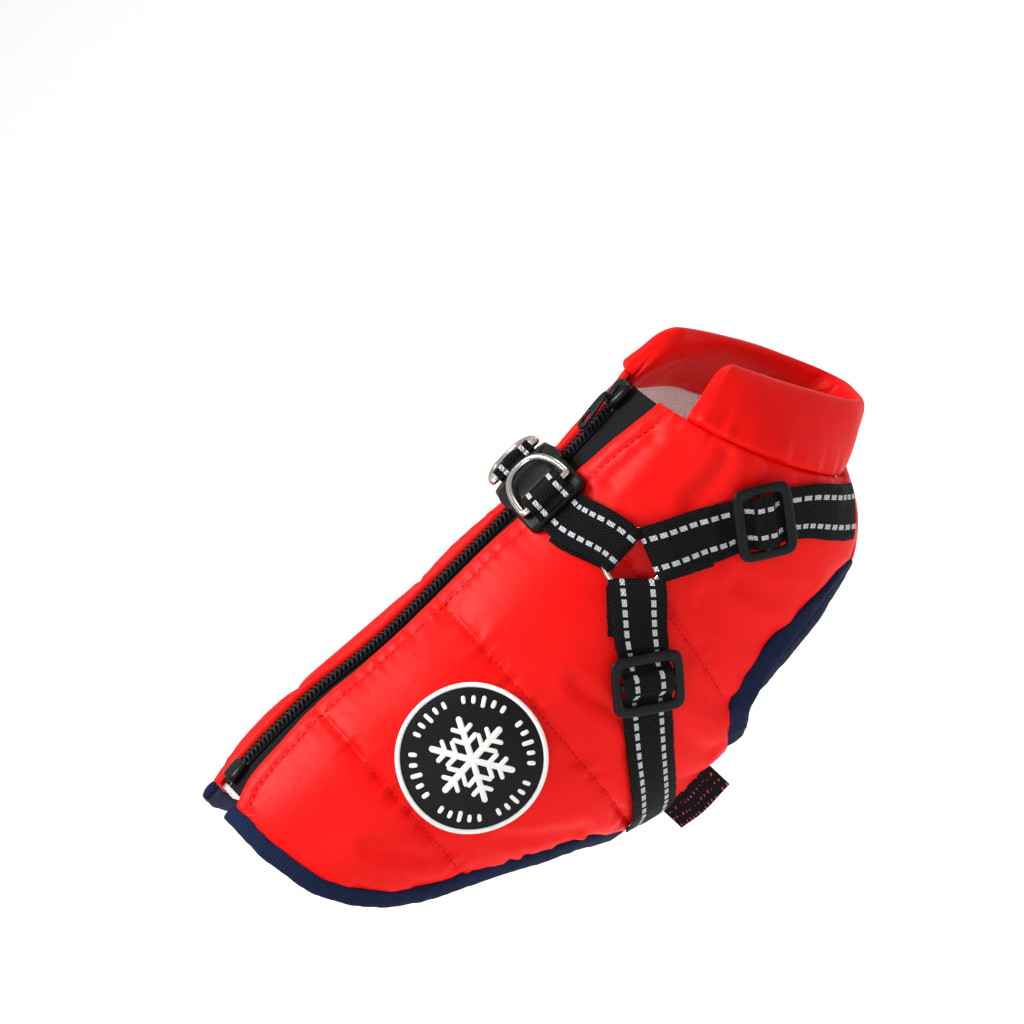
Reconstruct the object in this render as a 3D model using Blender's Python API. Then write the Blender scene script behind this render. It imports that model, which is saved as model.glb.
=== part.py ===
"""A small dog's padded winter jacket with a built-in harness, filled out as if worn.

The head is towards +X, the spine is up (+Z) and the dog's left is +Y. Sizes are in
millimetres and become metres in the meshes. A point of the cloth has two coordinates:
its station, counted along the spine from the end of the zip's teeth at the tail, and its
angle round the body in degrees, 0 at the spine and 180 under the belly, plus for the
dog's right and minus for its left. A third one, the lift, is the height above the panels'
plain inside. The origin is on the inside of the back at the withers.
"""
import math

import bmesh
import bpy
import numpy as np

MM = 0.001
GAP = 0.3                       # between pieces that touch
WITHERS_STATION = 155.0         # where the back holds the jacket up
LINING_LIFTS = (-2.7, -1.5)     # the lining's two faces, below the panels' inside

# The body's sections: each ring leans from its spine point to the point under the belly.
RING_COLUMNS = ("spine_x", "spine_z", "under_x", "under_z", "half_width")
RINGS = {
    "tail": (-14, 1.0, -16, -92, 42),
    "croup": (12, 4.0, 12, -98, 46),
    "flank": (38, 4.5, 38, -104, 50),
    "loin": (76, 1.0, 76, -116, 55),
    "waist": (112, 1.5, 114, -124, 53),
    "girth": (145, 2.0, 158, -127, 50),
    "withers": (175, 3.0, 202, -119, 47),
    "breast": (195, 4.5, 232, -99, 44),
    "neck": (208, 6.0, 243, -77, 42),
}
# How far each quilt line runs back towards the tail on its way round to the belly.
DRIFT = {"station": (-14, 38.8, 99.5, 161, 208), "back": (0, 5, 8, 27, 0)}
QUILT_STATIONS = (38.8, 99.5, 161.0)
# How far the belly and the strip between the armholes are drawn up between the seams.
BELLY_RISE = {"station": (-14, 76, 99.5, 127, 148, 160, 170, 182, 190, 197, 208),
              "rise": (0, 0, 1.0, 1.6, 3.4, 6.5, 8.5, 8.5, 6.5, 4.5, 4.0)}
FLANK_PINCH = 0.3               # share by which the left flank narrows just below the spine

TAIL, HEM_CORNER, ARMHOLE_BACK, ARMHOLE_FRONT, NECK = -7.5, 99.5, 155.0, 195.4, 207.3
CHEST_LINING_LIFTS = (-2.0, -0.8)
WALL_AT_SEAM = 2.0              # thickness of the padded wall along a seam
PUFF = 2.5                      # what the padding adds in the middle of a channel
ZIP_GAP = {                     # from the spine to each placket's edge
    "station": (-7.5, 0, 20, 60, 100, 133, 160, 172, 185, 205),
    "right": (13, 10.5, 9, 7, 6.6, 6.8, 9, 11.5, 13.5, 18),
    "left": (11, 8.5, 6.5, 5.5, 5.5, 5.5, 6, 7, 8.5, 12),
}
# The side panels' lower edge, from the hem's end over the belly seam, the armhole and the
# chest seam to the neck: station and angle of each point.
LOWER_EDGE = {
    "hem": ((-7.5, 44), (-4.5, 64.5), (1, 79), (8, 90), (22, 102), (38.8, 109.5),
            (63.5, 119), (86.5, 131.5), (99.5, 152)),
    "belly_seam": ((99.5, 152), (127, 153.5), (155, 154)),
    "armhole": ((155, 154), (157, 140), (160, 125.5), (165.5, 118.5), (172, 115.5),
                (178, 115.5), (184.5, 120), (191, 129), (194, 135), (195.4, 142)),
    "chest_seam": ((195.4, 142), (199, 143), (203, 146.5), (208, 156)),
}
CHEST_CROWN = 0.4               # how much the chest panel swells in its middle
CHEST_ARMHOLE = ((155, 154), (158, 158), (165, 160), (176, 160), (185, 158), (191, 154.5),
                 (194.2, 149), (195.4, 142))

BINDING_GAP = 0.6               # from the edge that it is sewn to
BINDING_HALF_WIDTH = 3.5
BINDING_HALF_THICKNESS = 1.9
ARMHOLE_FLARE = (-4, 34)        # degrees that its binding turns out: middle value and swing
BELLY_TUCK = 38                 # degrees that the hem's binding turns in under the belly
WEBBING_HALF_WIDTH = 10.0
WEBBING_THICKNESS = 1.3
GATHERED_HALF_ANGLE = 0.66      # radians of the O-ring that webbing takes, each way
LOOP_CLEAR = 0.8                # between the O-ring's wire and the webbing round it
O_RING_CLEAR = 1.6              # between the webbing under the O-ring and its centre line
WIRE_RADIUS, WIRE_SIDES = 1.3, 7
O_RING_RADIUS = 11.2            # centre line
O_RING_AT = (163.0, 55.5)       # station and angle of its centre
D_RING_HALF_WIDTH, D_RING_REACH = 11.2, 19.0
D_RING_LEAN = {"right": 17.0, "left": -19.0}    # degrees above level, both towards the left

# The straps' centre lines, outwards from the O-ring: station and angle of each point.
STRAP_ROUTES = {
    "back_strap": ((163, 55.5), (161.5, 46), (158, 36), (156.2, 30), (155.9, 25.3)),
    "chest_strap": ((163, 55.5), (171.8, 60.8), (182.6, 69.2), (191.2, 80.6), (196.2, 91.6),
                    (200.2, 107), (202.3, 138.5)),
    "belly_strap": ((163, 55.5), (158.7, 61.2), (149.3, 73.2), (140.2, 86.8), (127.6, 105.4),
                    (117.4, 124), (106, 150.3)),
}
STRAP_END_LIFTS = {"back_strap": 5.7, "chest_strap": 3.3, "belly_strap": 3.3}
STRAP_END_RUNS = {"back_strap": 7.0, "chest_strap": 12.0, "belly_strap": 12.0}
GLIDES = {"chest_strap": 49.5, "belly_strap": 44.5}     # distance from the O-ring's centre
GLIDE_BARS = (-11.8, -7.6, -1.6, 1.6, 7.6, 11.8)        # edges of its bars along the strap
GLIDE_SIDES = (-14.9, -12.2, 12.2, 14.9)                # and of its two sides
GLIDE_FLOOR = 2.3               # its underside, above the webbing's
GLIDE_HEIGHT = 2.0
GLIDE_FOLDS = (-9.2, -6.8, -2.6, 0.0, 2.6, 6.8, 9.2)    # rows of the webbing near a tri-glide

BUCKLE_HALF_WIDTH = 13.7        # along the spine
BUCKLE_REACH = 21.0             # from the spine, round the back
BUCKLE_LIFTS = (3.6, 7.8)
D_BAR_REACH = 15.0              # from the spine to a D-ring's straight bar
D_BAR_CLEAR = 0.8               # between that bar and the buckle's top

PATCH_AT, PATCH_RADIUS = (69.0, 66.5), 28.2
PATCH_RINGS = (0.2, 0.47, 0.74, 1.0)    # rings of points, as shares of the radius
PATCH_LIFTS = (0.6, 2.2)                # its two faces, above the panel's outside
LABEL_STATION, LABEL_WIDTH, LABEL_DROP = 134.0, 25.0, 12.0

# The collar goes from right of the spine, under the throat, to the left placket. Its section
# rises on the outside and comes down on the inside.
COLLAR_ENDS = (43, 341)
COLLAR_HEIGHTS = (0.03, 0.16, 0.42, 0.7, 0.9, 1.0, 1.0, 0.9, 0.7, 0.42, 0.16, 0.03)
COLLAR_BULGES = (1.1, 3.6, 5.4, 5.2, 3.8, 1.3, -1.3, -3.4, -4.6, -4.4, -3.0, -1.1)

COLOURS = {                     # red, green, blue, roughness, metallic
    "red_nylon": (0.83, 0.02, 0.015, 0.5, 0.0),
    "white_lining": (0.8, 0.76, 0.74, 0.9, 0.0),
    "navy_rib_knit": (0.009, 0.014, 0.04, 0.85, 0.0),
    "black_webbing": (0.006, 0.006, 0.007, 0.7, 0.0),
    "black_plastic": (0.012, 0.012, 0.013, 0.4, 0.0),
    "nickel_wire": (0.7, 0.68, 0.65, 0.2, 1.0),
    "patch_rubber": (0.02, 0.02, 0.022, 0.6, 0.0),
}

for leftover in list(bpy.data.objects):
    bpy.data.objects.remove(leftover, do_unlink=True)


# ---------------------------------------------------------------- curves and the body

def smooth(x, known_x, known_y):
    """Cubic through the known points, with each slope taken from its neighbours."""
    known_x, known_y = np.asarray(known_x, float), np.asarray(known_y, float)
    slopes = np.gradient(known_y, known_x)
    x = np.asarray(x, float)
    i = np.clip(np.searchsorted(known_x, x) - 1, 0, len(known_x) - 2)
    span = known_x[i + 1] - known_x[i]
    t = (x - known_x[i]) / span
    return ((2 * t**3 - 3 * t**2 + 1) * known_y[i] + (t**3 - 2 * t**2 + t) * span * slopes[i]
            + (3 * t**2 - 2 * t**3) * known_y[i + 1] + (t**3 - t**2) * span * slopes[i + 1])


def eased(x, start, end):
    """0 before the start, 1 after the end, eased between."""
    t = np.clip((x - start) / (end - start), 0, 1)
    return t * t * (3 - 2 * t)


def ring_value(column, station):
    """One column of the ring table at any station along the spine."""
    rows = np.array(list(RINGS.values()), float)
    return smooth(station, rows[:, 0], rows[:, RING_COLUMNS.index(column)])


def body(station, angle):
    """The panels' plain inside: an ellipse round each leaning ring.

    The belly is drawn up between the seams, and the left flank is drawn in below the spine.
    """
    around = np.radians(np.asarray(angle, float))
    drift = smooth(station, DRIFT["station"], DRIFT["back"])
    at = np.asarray(station, float) - drift * (1 - np.cos(around)) / 2
    spine_x, spine_z, under_x, under_z, half_width = (
        ring_value(name, at) for name in RING_COLUMNS)
    from_belly = np.abs(180 - np.abs(angle))
    rise = smooth(station, BELLY_RISE["station"], BELLY_RISE["rise"]) * eased(from_belly, 42, 18)
    pinch = (FLANK_PINCH * (np.sin(around) < 0) * eased(from_belly, 180, 164)
             * eased(from_belly, 96, 142))
    return np.stack([
        (spine_x + under_x) / 2 + (spine_x - under_x) / 2 * np.cos(around),
        -half_width * np.sin(around) * (1 - pinch),
        (spine_z + under_z) / 2 + (spine_z - under_z) / 2 * np.cos(around) + rise], axis=-1)


def slopes_of(station, angle):
    """How the body's point moves per millimetre of station and per degree of angle."""
    step = 0.5
    by_station = (body(np.add(station, step), angle) - body(np.subtract(station, step), angle))
    by_angle = (body(station, np.add(angle, step)) - body(station, np.subtract(angle, step)))
    return by_station / (2 * step), by_angle / (2 * step)


def outward(station, angle):
    """Unit normal of the body, away from its inside."""
    by_station, by_angle = slopes_of(station, angle)
    normal = np.cross(by_angle, by_station)
    return normal / np.linalg.norm(normal, axis=-1, keepdims=True)


def shell(station, angle, lift):
    """A point above the panels' inside, moved out along the normal."""
    return body(station, angle) + outward(station, angle) * np.asarray(lift, float)[..., None]


def moved(station, angle, shift):
    """Station and angle of the cloth under a point moved by a vector in millimetres."""
    target = body(station, angle) + shift
    for _ in range(3):
        by_station, by_angle = slopes_of(station, angle)
        rest = target - body(station, angle)
        aa = np.sum(by_station * by_station, axis=-1)
        ab = np.sum(by_station * by_angle, axis=-1)
        bb = np.sum(by_angle * by_angle, axis=-1)
        ra = np.sum(rest * by_station, axis=-1)
        rb = np.sum(rest * by_angle, axis=-1)
        det = aa * bb - ab * ab
        station = station + (ra * bb - rb * ab) / det
        angle = angle + (rb * aa - ra * ab) / det
    return station, angle


def spine_angle(station, reach):
    """The angle of a point that lies so many millimetres from the spine."""
    return np.degrees(reach / ring_value("half_width", station))


def placket_angle(station, side):
    """The angle of the placket's edge beside the zip."""
    return spine_angle(station, smooth(station, ZIP_GAP["station"], ZIP_GAP[side]))


def lower_angle(station):
    """The angle of the side panels' lower edge at each station."""
    station = np.asarray(station, float)
    angle = np.zeros_like(station)
    for span in LOWER_EDGE.values():
        table = np.array(span, float)
        inside = (station >= table[0, 0] - 1e-6) & (station <= table[-1, 0] + 1e-6)
        angle = np.where(inside, smooth(station, table[:, 0], table[:, 1]), angle)
    return angle


def loft(station, angle):
    """Thickness of the padded wall: thin at seams and quilt lines, puffed between them."""
    station, angle = np.broadcast_arrays(np.asarray(station, float), np.abs(angle))
    lines = np.array((TAIL,) + QUILT_STATIONS + (NECK + 0.7,))
    i = np.clip(np.searchsorted(lines, station) - 1, 0, len(lines) - 2)
    across = np.clip((station - lines[i]) / (lines[i + 1] - lines[i]), 0, 1)
    channel = (4 * across * (1 - across)) ** 0.6
    half_width = ring_value("half_width", station)
    from_zip = np.radians(angle) * half_width - smooth(station, ZIP_GAP["station"], ZIP_GAP["right"])
    edge = np.clip(lower_angle(np.clip(station, TAIL, NECK)), 20, 180)
    from_edge = np.abs(np.radians(edge - angle)) * half_width
    near_edges = (1 - np.exp(-np.clip(from_zip, 0, None) / 4)) * (1 - np.exp(-from_edge / 5))
    reach = np.radians(angle) * half_width
    pressed = np.exp(-((station - WITHERS_STATION) / 24) ** 2 - (reach / 30) ** 4)
    return WALL_AT_SEAM + PUFF * channel * near_edges * (1 - 0.75 * pressed)


# ------------------------------------------------------------------------ making solids

def hold_point():
    """The origin: the lining's inner face at the withers, over the spine."""
    return shell(np.array(WITHERS_STATION), np.array(0.0), LINING_LIFTS[0])


def make_object(name, points, faces, colour, pivot=None):
    """One closed mesh of the given points in millimetres, with its faces turned outwards."""
    mesh = bpy.data.meshes.new(name)
    built = bmesh.new()
    middle = hold_point() if pivot is None else pivot
    corners = [built.verts.new(point) for point in (np.asarray(points) - middle) * MM]
    for face in faces:
        built.faces.new([corners[i] for i in face])
    bmesh.ops.recalc_face_normals(built, faces=built.faces)
    built.to_mesh(mesh)
    built.free()
    mesh.shade_smooth()
    mesh.set_sharp_from_angle(angle=math.radians(40))
    mesh.materials.append(material(colour))
    part = bpy.data.objects.new(name, mesh)
    part.location = (middle - hold_point()) * MM
    bpy.context.scene.collection.objects.link(part)
    return part


def material(name):
    """A Principled material, made once for each finish."""
    if name in bpy.data.materials:
        return bpy.data.materials[name]
    made = bpy.data.materials.new(name)
    made.use_nodes = True
    shader = made.node_tree.nodes["Principled BSDF"]
    red, green, blue, roughness, metallic = COLOURS[name]
    shader.inputs["Base Color"].default_value = (red, green, blue, 1)
    shader.inputs["Roughness"].default_value = roughness
    shader.inputs["Metallic"].default_value = metallic
    made.diffuse_color = (red, green, blue, 1)
    return made


def wall(name, inner, outer, colour):
    """A sheet with a thickness: two grids of the same size joined round their edges."""
    rows, columns = inner.shape[:2]
    index = np.arange(rows * columns).reshape(rows, columns)
    other = index + rows * columns
    faces = []
    for i in range(rows - 1):
        for j in range(columns - 1):
            square = [(i, j), (i + 1, j), (i + 1, j + 1), (i, j + 1)]
            faces.append([index[k] for k in square])
            faces.append([other[k] for k in reversed(square)])
    rim = ([(i, 0) for i in range(rows)] + [(rows - 1, j) for j in range(1, columns)]
           + [(i, columns - 1) for i in range(rows - 2, -1, -1)]
           + [(0, j) for j in range(columns - 2, 0, -1)])
    for here, there in zip(rim, rim[1:] + rim[:1]):
        faces.append([index[here], other[here], other[there], index[there]])
    points = np.concatenate([inner.reshape(-1, 3), outer.reshape(-1, 3)])
    return make_object(name, points, faces, colour)


def tube(name, sections, colour, closed=False, pivot=None):
    """A solid through a row of closed sections, with caps unless its ends meet."""
    count, around = sections.shape[:2]
    index = np.arange(count * around).reshape(count, around)
    faces = []
    for i in range(count if closed else count - 1):
        here, there = index[i], index[(i + 1) % count]
        for j in range(around):
            k = (j + 1) % around
            faces.append([here[j], here[k], there[k], there[j]])
    if not closed:
        faces.append(list(index[0]))
        faces.append(list(reversed(index[-1])))
    return make_object(name, sections.reshape(-1, 3), faces, colour, pivot)


def sections_along(path, side, up, profile):
    """Sections of a profile (across, up) carried along a path by two vectors a point."""
    return (path[:, None, :] + side[:, None, :] * profile[..., 0, None]
            + up[:, None, :] * profile[..., 1, None])


def tangents(path, closed=False):
    """Unit directions along a path."""
    if closed:
        step = np.roll(path, -1, axis=0) - np.roll(path, 1, axis=0)
    else:
        step = np.gradient(path, axis=0)
    return step / np.linalg.norm(step, axis=-1, keepdims=True)


def spaced(points, count, closed=False):
    """The same line with its points an equal distance apart."""
    if closed:
        points = np.concatenate([points, points[:1]])
    lengths = np.linalg.norm(np.diff(points, axis=0), axis=-1)
    total = np.concatenate([[0], np.cumsum(lengths)])
    at = np.linspace(0, total[-1], count + 1 if closed else count)
    even = np.stack([np.interp(at, total, points[:, k]) for k in range(points.shape[1])], -1)
    return even[:-1] if closed else even


def oval(half_width, half_height, count):
    """A flat oval profile, squarer than an ellipse."""
    t = np.linspace(0, 2 * math.pi, count, endpoint=False) + math.pi / count
    return np.stack([half_width * np.sign(np.cos(t)) * np.abs(np.cos(t)) ** 0.7,
                     half_height * np.sign(np.sin(t)) * np.abs(np.sin(t)) ** 0.7], -1)


# ------------------------------------------------------------------------ cloth pieces

def panel_stations(spans):
    """Columns of a panel: each span from one station to the next has so many cells."""
    parts = [np.linspace(start, end, cells + 1)[:-1] for start, end, cells in spans]
    return np.append(np.concatenate(parts), spans[-1][1])


SIDE_SPANS = ((TAIL, -2.5, 2), (-2.5, 8, 3), (8, 38.8, 4), (38.8, HEM_CORNER, 9),
              (HEM_CORNER, ARMHOLE_BACK, 8), (ARMHOLE_BACK, 157, 1), (157, 161, 2),
              (161, 185, 5), (185, 193, 2), (193, ARMHOLE_FRONT, 2), (ARMHOLE_FRONT, NECK, 3))


def side_grid(side, stations, rows, inset=0.0):
    """Stations and angles of a side panel, its angles pulled in by an inset in mm."""
    t = np.linspace(0, 1, rows)
    inset_angle = spine_angle(stations, inset)
    first = placket_angle(stations, side) + inset_angle
    last = lower_angle(stations) - inset_angle
    angles = first[:, None] + (last - first)[:, None] * t
    return np.repeat(stations[:, None], rows, axis=1), angles


def side_sign(side):
    return 1 if side == "right" else -1


def build_side_panel(side):
    """A padded side: from the zip's placket down to hem, belly seam, armhole, chest seam."""
    station, angle = side_grid(side, panel_stations(SIDE_SPANS), 13)
    sign = side_sign(side)
    inner = shell(station, sign * angle, np.zeros_like(angle))
    outer = shell(station, sign * angle, loft(station, angle))
    wall(side + "_side_panel", inner, outer, "red_nylon")


def build_side_lining(side):
    """The white lining inside a side panel, from the zip tape's edge."""
    stations = panel_stations(((TAIL + 1, 8, 3), (8, 38.8, 3), (38.8, HEM_CORNER, 9),
                               (HEM_CORNER, ARMHOLE_BACK, 4), (ARMHOLE_BACK, 157, 2),
                               (157, 161, 2), (161, 193, 5), (193, NECK - 1, 2)))
    station, angle = side_grid(side, stations, 10, inset=1.0)
    tape_edge = placket_angle(stations, side) + spine_angle(stations, 8.5)
    share = np.linspace(0, 1, angle.shape[1])
    angle = tape_edge[:, None] + (angle[:, -1] - tape_edge)[:, None] * share
    sign = side_sign(side)
    inner, outer = (shell(station, sign * angle, np.full_like(angle, lift))
                    for lift in LINING_LIFTS)
    wall(side + "_lining", inner, outer, "white_lining")


def chest_edge(stations):
    """The chest and belly panel's edge: along the seams, and round the armholes."""
    table = np.array(CHEST_ARMHOLE, float)
    inside = (stations > ARMHOLE_BACK) & (stations < ARMHOLE_FRONT)
    return np.where(inside, smooth(stations, table[:, 0], table[:, 1]), lower_angle(stations))


CHEST_SPANS = ((HEM_CORNER, ARMHOLE_BACK, 8), (ARMHOLE_BACK, 158, 1), (158, 191, 6),
               (191, 194.2, 1), (194.2, ARMHOLE_FRONT, 1), (ARMHOLE_FRONT, NECK, 3))


def chest_wall(name, stations, rows, lifts, inset, colour):
    """A wall under the chest from the right edge to the left one."""
    edge = chest_edge(stations) + spine_angle(stations, inset)
    t = np.linspace(-1, 1, rows)
    angle = 180 + (180 - edge)[:, None] * t
    station = np.repeat(stations[:, None], rows, axis=1)
    inner = shell(station, angle, np.full_like(angle, lifts[0]))
    crown = lifts[1] + lifts[2] * (1 - t**2) * np.ones_like(angle)
    outer = shell(station, angle, crown)
    wall(name, inner, outer, colour)


def build_chest_and_lining():
    chest_wall("chest_panel", panel_stations(CHEST_SPANS), 9, (0, WALL_AT_SEAM, CHEST_CROWN), 0.5,
               "red_nylon")
    stations = panel_stations(((HEM_CORNER + 1, ARMHOLE_BACK, 6), (ARMHOLE_BACK, 158, 1),
                               (158, 191, 6), (191, ARMHOLE_FRONT, 2), (ARMHOLE_FRONT, NECK - 1, 3)))
    chest_wall("chest_lining", stations, 7, (*CHEST_LINING_LIFTS, 0), 1.5, "white_lining")


def binding(name, line, widths, turn, flare, closed):
    """Rib knit folded over an edge: an oval tube beside the edge's line of cloth points.

    The flare is the angle by which the knit turns out from the cloth at each point.
    """
    line = spaced(line * [1, 0.85], len(widths), closed) / [1, 0.85]
    station, angle = line[:, 0], line[:, 1]
    edge = body(station, angle)
    along = tangents(edge, closed)
    up = outward(station, angle)
    side = np.cross(up, along) * turn
    side /= np.linalg.norm(side, axis=-1, keepdims=True)
    edge = edge + up * WALL_AT_SEAM / 2
    lean = np.radians(flare)[:, None]
    side, up = side * np.cos(lean) + up * np.sin(lean), up * np.cos(lean) - side * np.sin(lean)
    clear = BINDING_GAP + 0.7 * np.sin(np.abs(lean[:, 0]))
    centre = edge + side * (widths + clear)[:, None]
    if closed:
        for _ in range(4):
            centre, side, up = ((np.roll(line, 1, 0) + 2 * line + np.roll(line, -1, 0)) / 4
                                for line in (centre, side, up))
    profile = np.stack([oval(w, BINDING_HALF_THICKNESS, 6) for w in widths])
    tube(name, sections_along(centre, side, up, profile), "navy_rib_knit", closed)


def build_bindings():
    """One binding round the whole hem, from zip to zip, and one round each armhole."""
    steps = np.linspace(0, 1, 12)
    tail_right = placket_angle(np.array(TAIL), "right") + steps * (44 - placket_angle(TAIL, "right"))
    tail_left = placket_angle(np.array(TAIL), "left") + steps * (44 - placket_angle(TAIL, "left"))
    hem = panel_stations(((TAIL, 8, 10), (8, HEM_CORNER, 24)))[1:]
    right_hem = np.stack([hem, lower_angle(hem)], -1)
    belly = np.stack([np.full(9, HEM_CORNER), np.linspace(152, 208, 11)[1:-1]], -1)
    left_hem = right_hem[::-1] * [1, -1] + [0, 360]
    line = np.concatenate([np.stack([np.full(12, TAIL), tail_right], -1), right_hem, belly,
                           left_hem, np.stack([np.full(12, TAIL), 360 - tail_left[::-1]], -1)])
    tuck = -BELLY_TUCK * np.exp(-(np.linspace(-1, 1, 100) / 0.13) ** 4)
    binding("hem_binding", line, np.full(100, BINDING_HALF_WIDTH), -1, tuck, False)

    upper = np.array(LOWER_EDGE["armhole"], float)
    lower = np.array(CHEST_ARMHOLE, float)
    top_stations = np.concatenate([np.linspace(155, 160, 8), np.linspace(160, 191, 20)[1:],
                                   np.linspace(191, 195.4, 8)[1:]])
    top = np.stack([top_stations, smooth(top_stations, upper[:, 0], upper[:, 1])], -1)
    low_stations = top_stations[::-1][1:-1]
    low = np.stack([low_stations, smooth(low_stations, lower[:, 0], lower[:, 1])], -1)
    for side in ("right", "left"):
        sign = side_sign(side)
        ring = np.concatenate([top, low]) * [1, sign]
        swing = np.sin(2 * math.pi * np.arange(44) / 44)
        flare = ARMHOLE_FLARE[0] + ARMHOLE_FLARE[1] * swing
        widths = 2.0 + 1.4 * np.abs(swing) ** 0.5
        binding(side + "_armhole_binding", ring, widths, -sign, flare, True)


def build_collar():
    """The puffed collar: fat sections that lean in from the neck seam, split at the nape."""
    around = np.linspace(*COLLAR_ENDS, 38)
    base = shell(np.full(38, 208.0), around, np.full(38, 1.0))
    turn = np.radians(around)
    sine = np.sin(turn)
    top = np.stack([248 - 16 * np.cos(turn),
                    np.where(sine > 0, -20, 18) * np.sqrt(np.abs(sine)),
                    -29.7 + 33 * np.cos(turn)], axis=-1)
    run = np.concatenate([[0], np.cumsum(np.linalg.norm(np.diff(base, axis=0), axis=-1))])
    from_end = np.minimum(run, run[-1] - run)
    rounding = np.sqrt(np.clip(1 - (1 - np.clip(from_end / 7, 0, 1)) ** 2, 0, 1))
    rise = (top - base) * (0.72 + 0.28 * rounding)[:, None]
    out = np.cross(rise, tangents(base))
    out /= np.linalg.norm(out, axis=-1, keepdims=True)
    out *= np.sign(np.sum(out * (base - base.mean(axis=0)), axis=-1, keepdims=True))
    throat = np.exp(-((around - 180) / 55) ** 2)[:, None]
    bulge = np.array(COLLAR_BULGES) * (0.6 + 0.4 * rounding)[:, None]
    bulge = np.where(bulge > 0, bulge * (1 - 0.45 * throat), bulge)
    sections = (base[:, None] + rise[:, None] * np.array(COLLAR_HEIGHTS)[:, None]
                + out[:, None] * bulge[..., None])
    tube("collar", sections, "red_nylon")


# ------------------------------------------------------------------------------- the zip

def strip(name, station, reaches, lifts, colour):
    """A strip along the spine between two distances from it and two lifts."""
    grids = []
    for lift in lifts:
        angle = np.stack([spine_angle(station, reach) for reach in reaches], -1)
        grids.append(shell(np.repeat(station[:, None], len(reaches), 1), angle,
                           np.full_like(angle, lift)))
    return wall(name, grids[0], grids[1], colour)


def build_zip():
    stations = np.linspace(TAIL + 3, NECK - 1, 26)
    for side in ("right", "left"):
        sign = side_sign(side)
        gap = smooth(stations, ZIP_GAP["station"], ZIP_GAP[side])
        reaches = (sign * np.full_like(gap, 0.8), sign * (gap + 7) / 2, sign * (gap + 7))
        strip(side + "_zip_tape", stations, reaches, (-1.2, -0.4), "black_webbing")
    chain = np.linspace(6.5, 193.5, 36)
    half = np.full_like(chain, 3.0)
    strip("zip_chain", chain, (-half, half), (0.0, 2.3), "black_plastic")
    box = np.linspace(-3.0, 6.0, 4)
    half = np.full_like(box, 4.2)
    strip("zip_box", box, (-half, half), (0.0, 3.2), "black_plastic")
    slider = np.linspace(194.2, 206.0, 5)
    half = np.array((3.0, 4.6, 5.2, 5.0, 3.6))
    strip("zip_slider", slider, (-half, 0 * half, half), (0.2, 4.4), "black_plastic")
    build_zip_pull()


def plate(name, frame, long_lines, cross_lines, holes, heights, colour, corner=0.0):
    """A flat plate of cells in a frame (origin, long, cross, up), with some cells left open."""
    origin, long_axis, cross_axis, up = frame
    points, index = [], {}

    def vertex(i, j, k):
        if (i, j, k) not in index:
            x, y = long_lines[i], cross_lines[j]
            if i in (0, len(long_lines) - 1) and j in (0, len(cross_lines) - 1):
                x -= math.copysign(corner, x)
                y -= math.copysign(corner, y)
            index[i, j, k] = len(points)
            points.append(origin + long_axis * x + cross_axis * y + up * heights[k])
        return index[i, j, k]

    solid = {(i, j) for i in range(len(long_lines) - 1) for j in range(len(cross_lines) - 1)
             if (i, j) not in holes}
    faces = []
    for i, j in sorted(solid):
        ring = [(i, j), (i + 1, j), (i + 1, j + 1), (i, j + 1)]
        faces.append([vertex(*p, 1) for p in ring])
        faces.append([vertex(*p, 0) for p in reversed(ring)])
        sides = (((i, j - 1), 0, 1), ((i + 1, j), 1, 2), ((i, j + 1), 2, 3), ((i - 1, j), 3, 0))
        for neighbour, a, b in sides:
            if neighbour not in solid:
                faces.append([vertex(*ring[a], 0), vertex(*ring[b], 0),
                              vertex(*ring[b], 1), vertex(*ring[a], 1)])
    return make_object(name, points, faces, colour, origin)


def build_zip_pull():
    """The pull tab: hinged across the slider, lying back along the closed teeth."""
    hinge = shell(np.array(197.5), np.array(0.0), 5.9)
    back = shell(np.array(181.0), np.array(0.0), 4.4)
    along = (back - hinge) / np.linalg.norm(back - hinge)
    across = np.array((0.0, -1.0, 0.0))
    up = np.cross(across, along)
    up *= np.sign(up[2])
    long_lines = (-0.95, 1.2, 9.0, 13.5, 16.5)
    plate("zip_pull", (hinge, along, across, up), long_lines, (-2.8, -1.2, 1.2, 2.8),
          {(2, 1)}, (-0.6, 0.6), "black_plastic", corner=0.9)


# ------------------------------------------------------------------------- the harness

def route(name, sign, distances):
    """Station and angle at each distance along a strap from the O-ring's centre."""
    table = np.array(STRAP_ROUTES[name], float)
    knots = np.arange(len(table), dtype=float)
    fine = np.linspace(0, knots[-1], 240)
    line = np.stack([smooth(fine, knots, table[:, k]) for k in (0, 1)], -1)
    points = body(line[:, 0], line[:, 1])
    run = np.concatenate([[0], np.cumsum(np.linalg.norm(np.diff(points, axis=0), axis=-1))])
    station = np.interp(distances, run, line[:, 0])
    angle = np.interp(distances, run, line[:, 1])
    return station, sign * angle, run[-1]


def strap_base(station, angle, side_vector):
    """Height that clears the padding over the webbing's whole width."""
    highest = np.zeros_like(station)
    for share in (-1, -0.5, 0, 0.5, 1):
        s, a = moved(station, angle, side_vector * WEBBING_HALF_WIDTH * share)
        highest = np.maximum(highest, loft(s, a))
    return highest + 0.5


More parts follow.
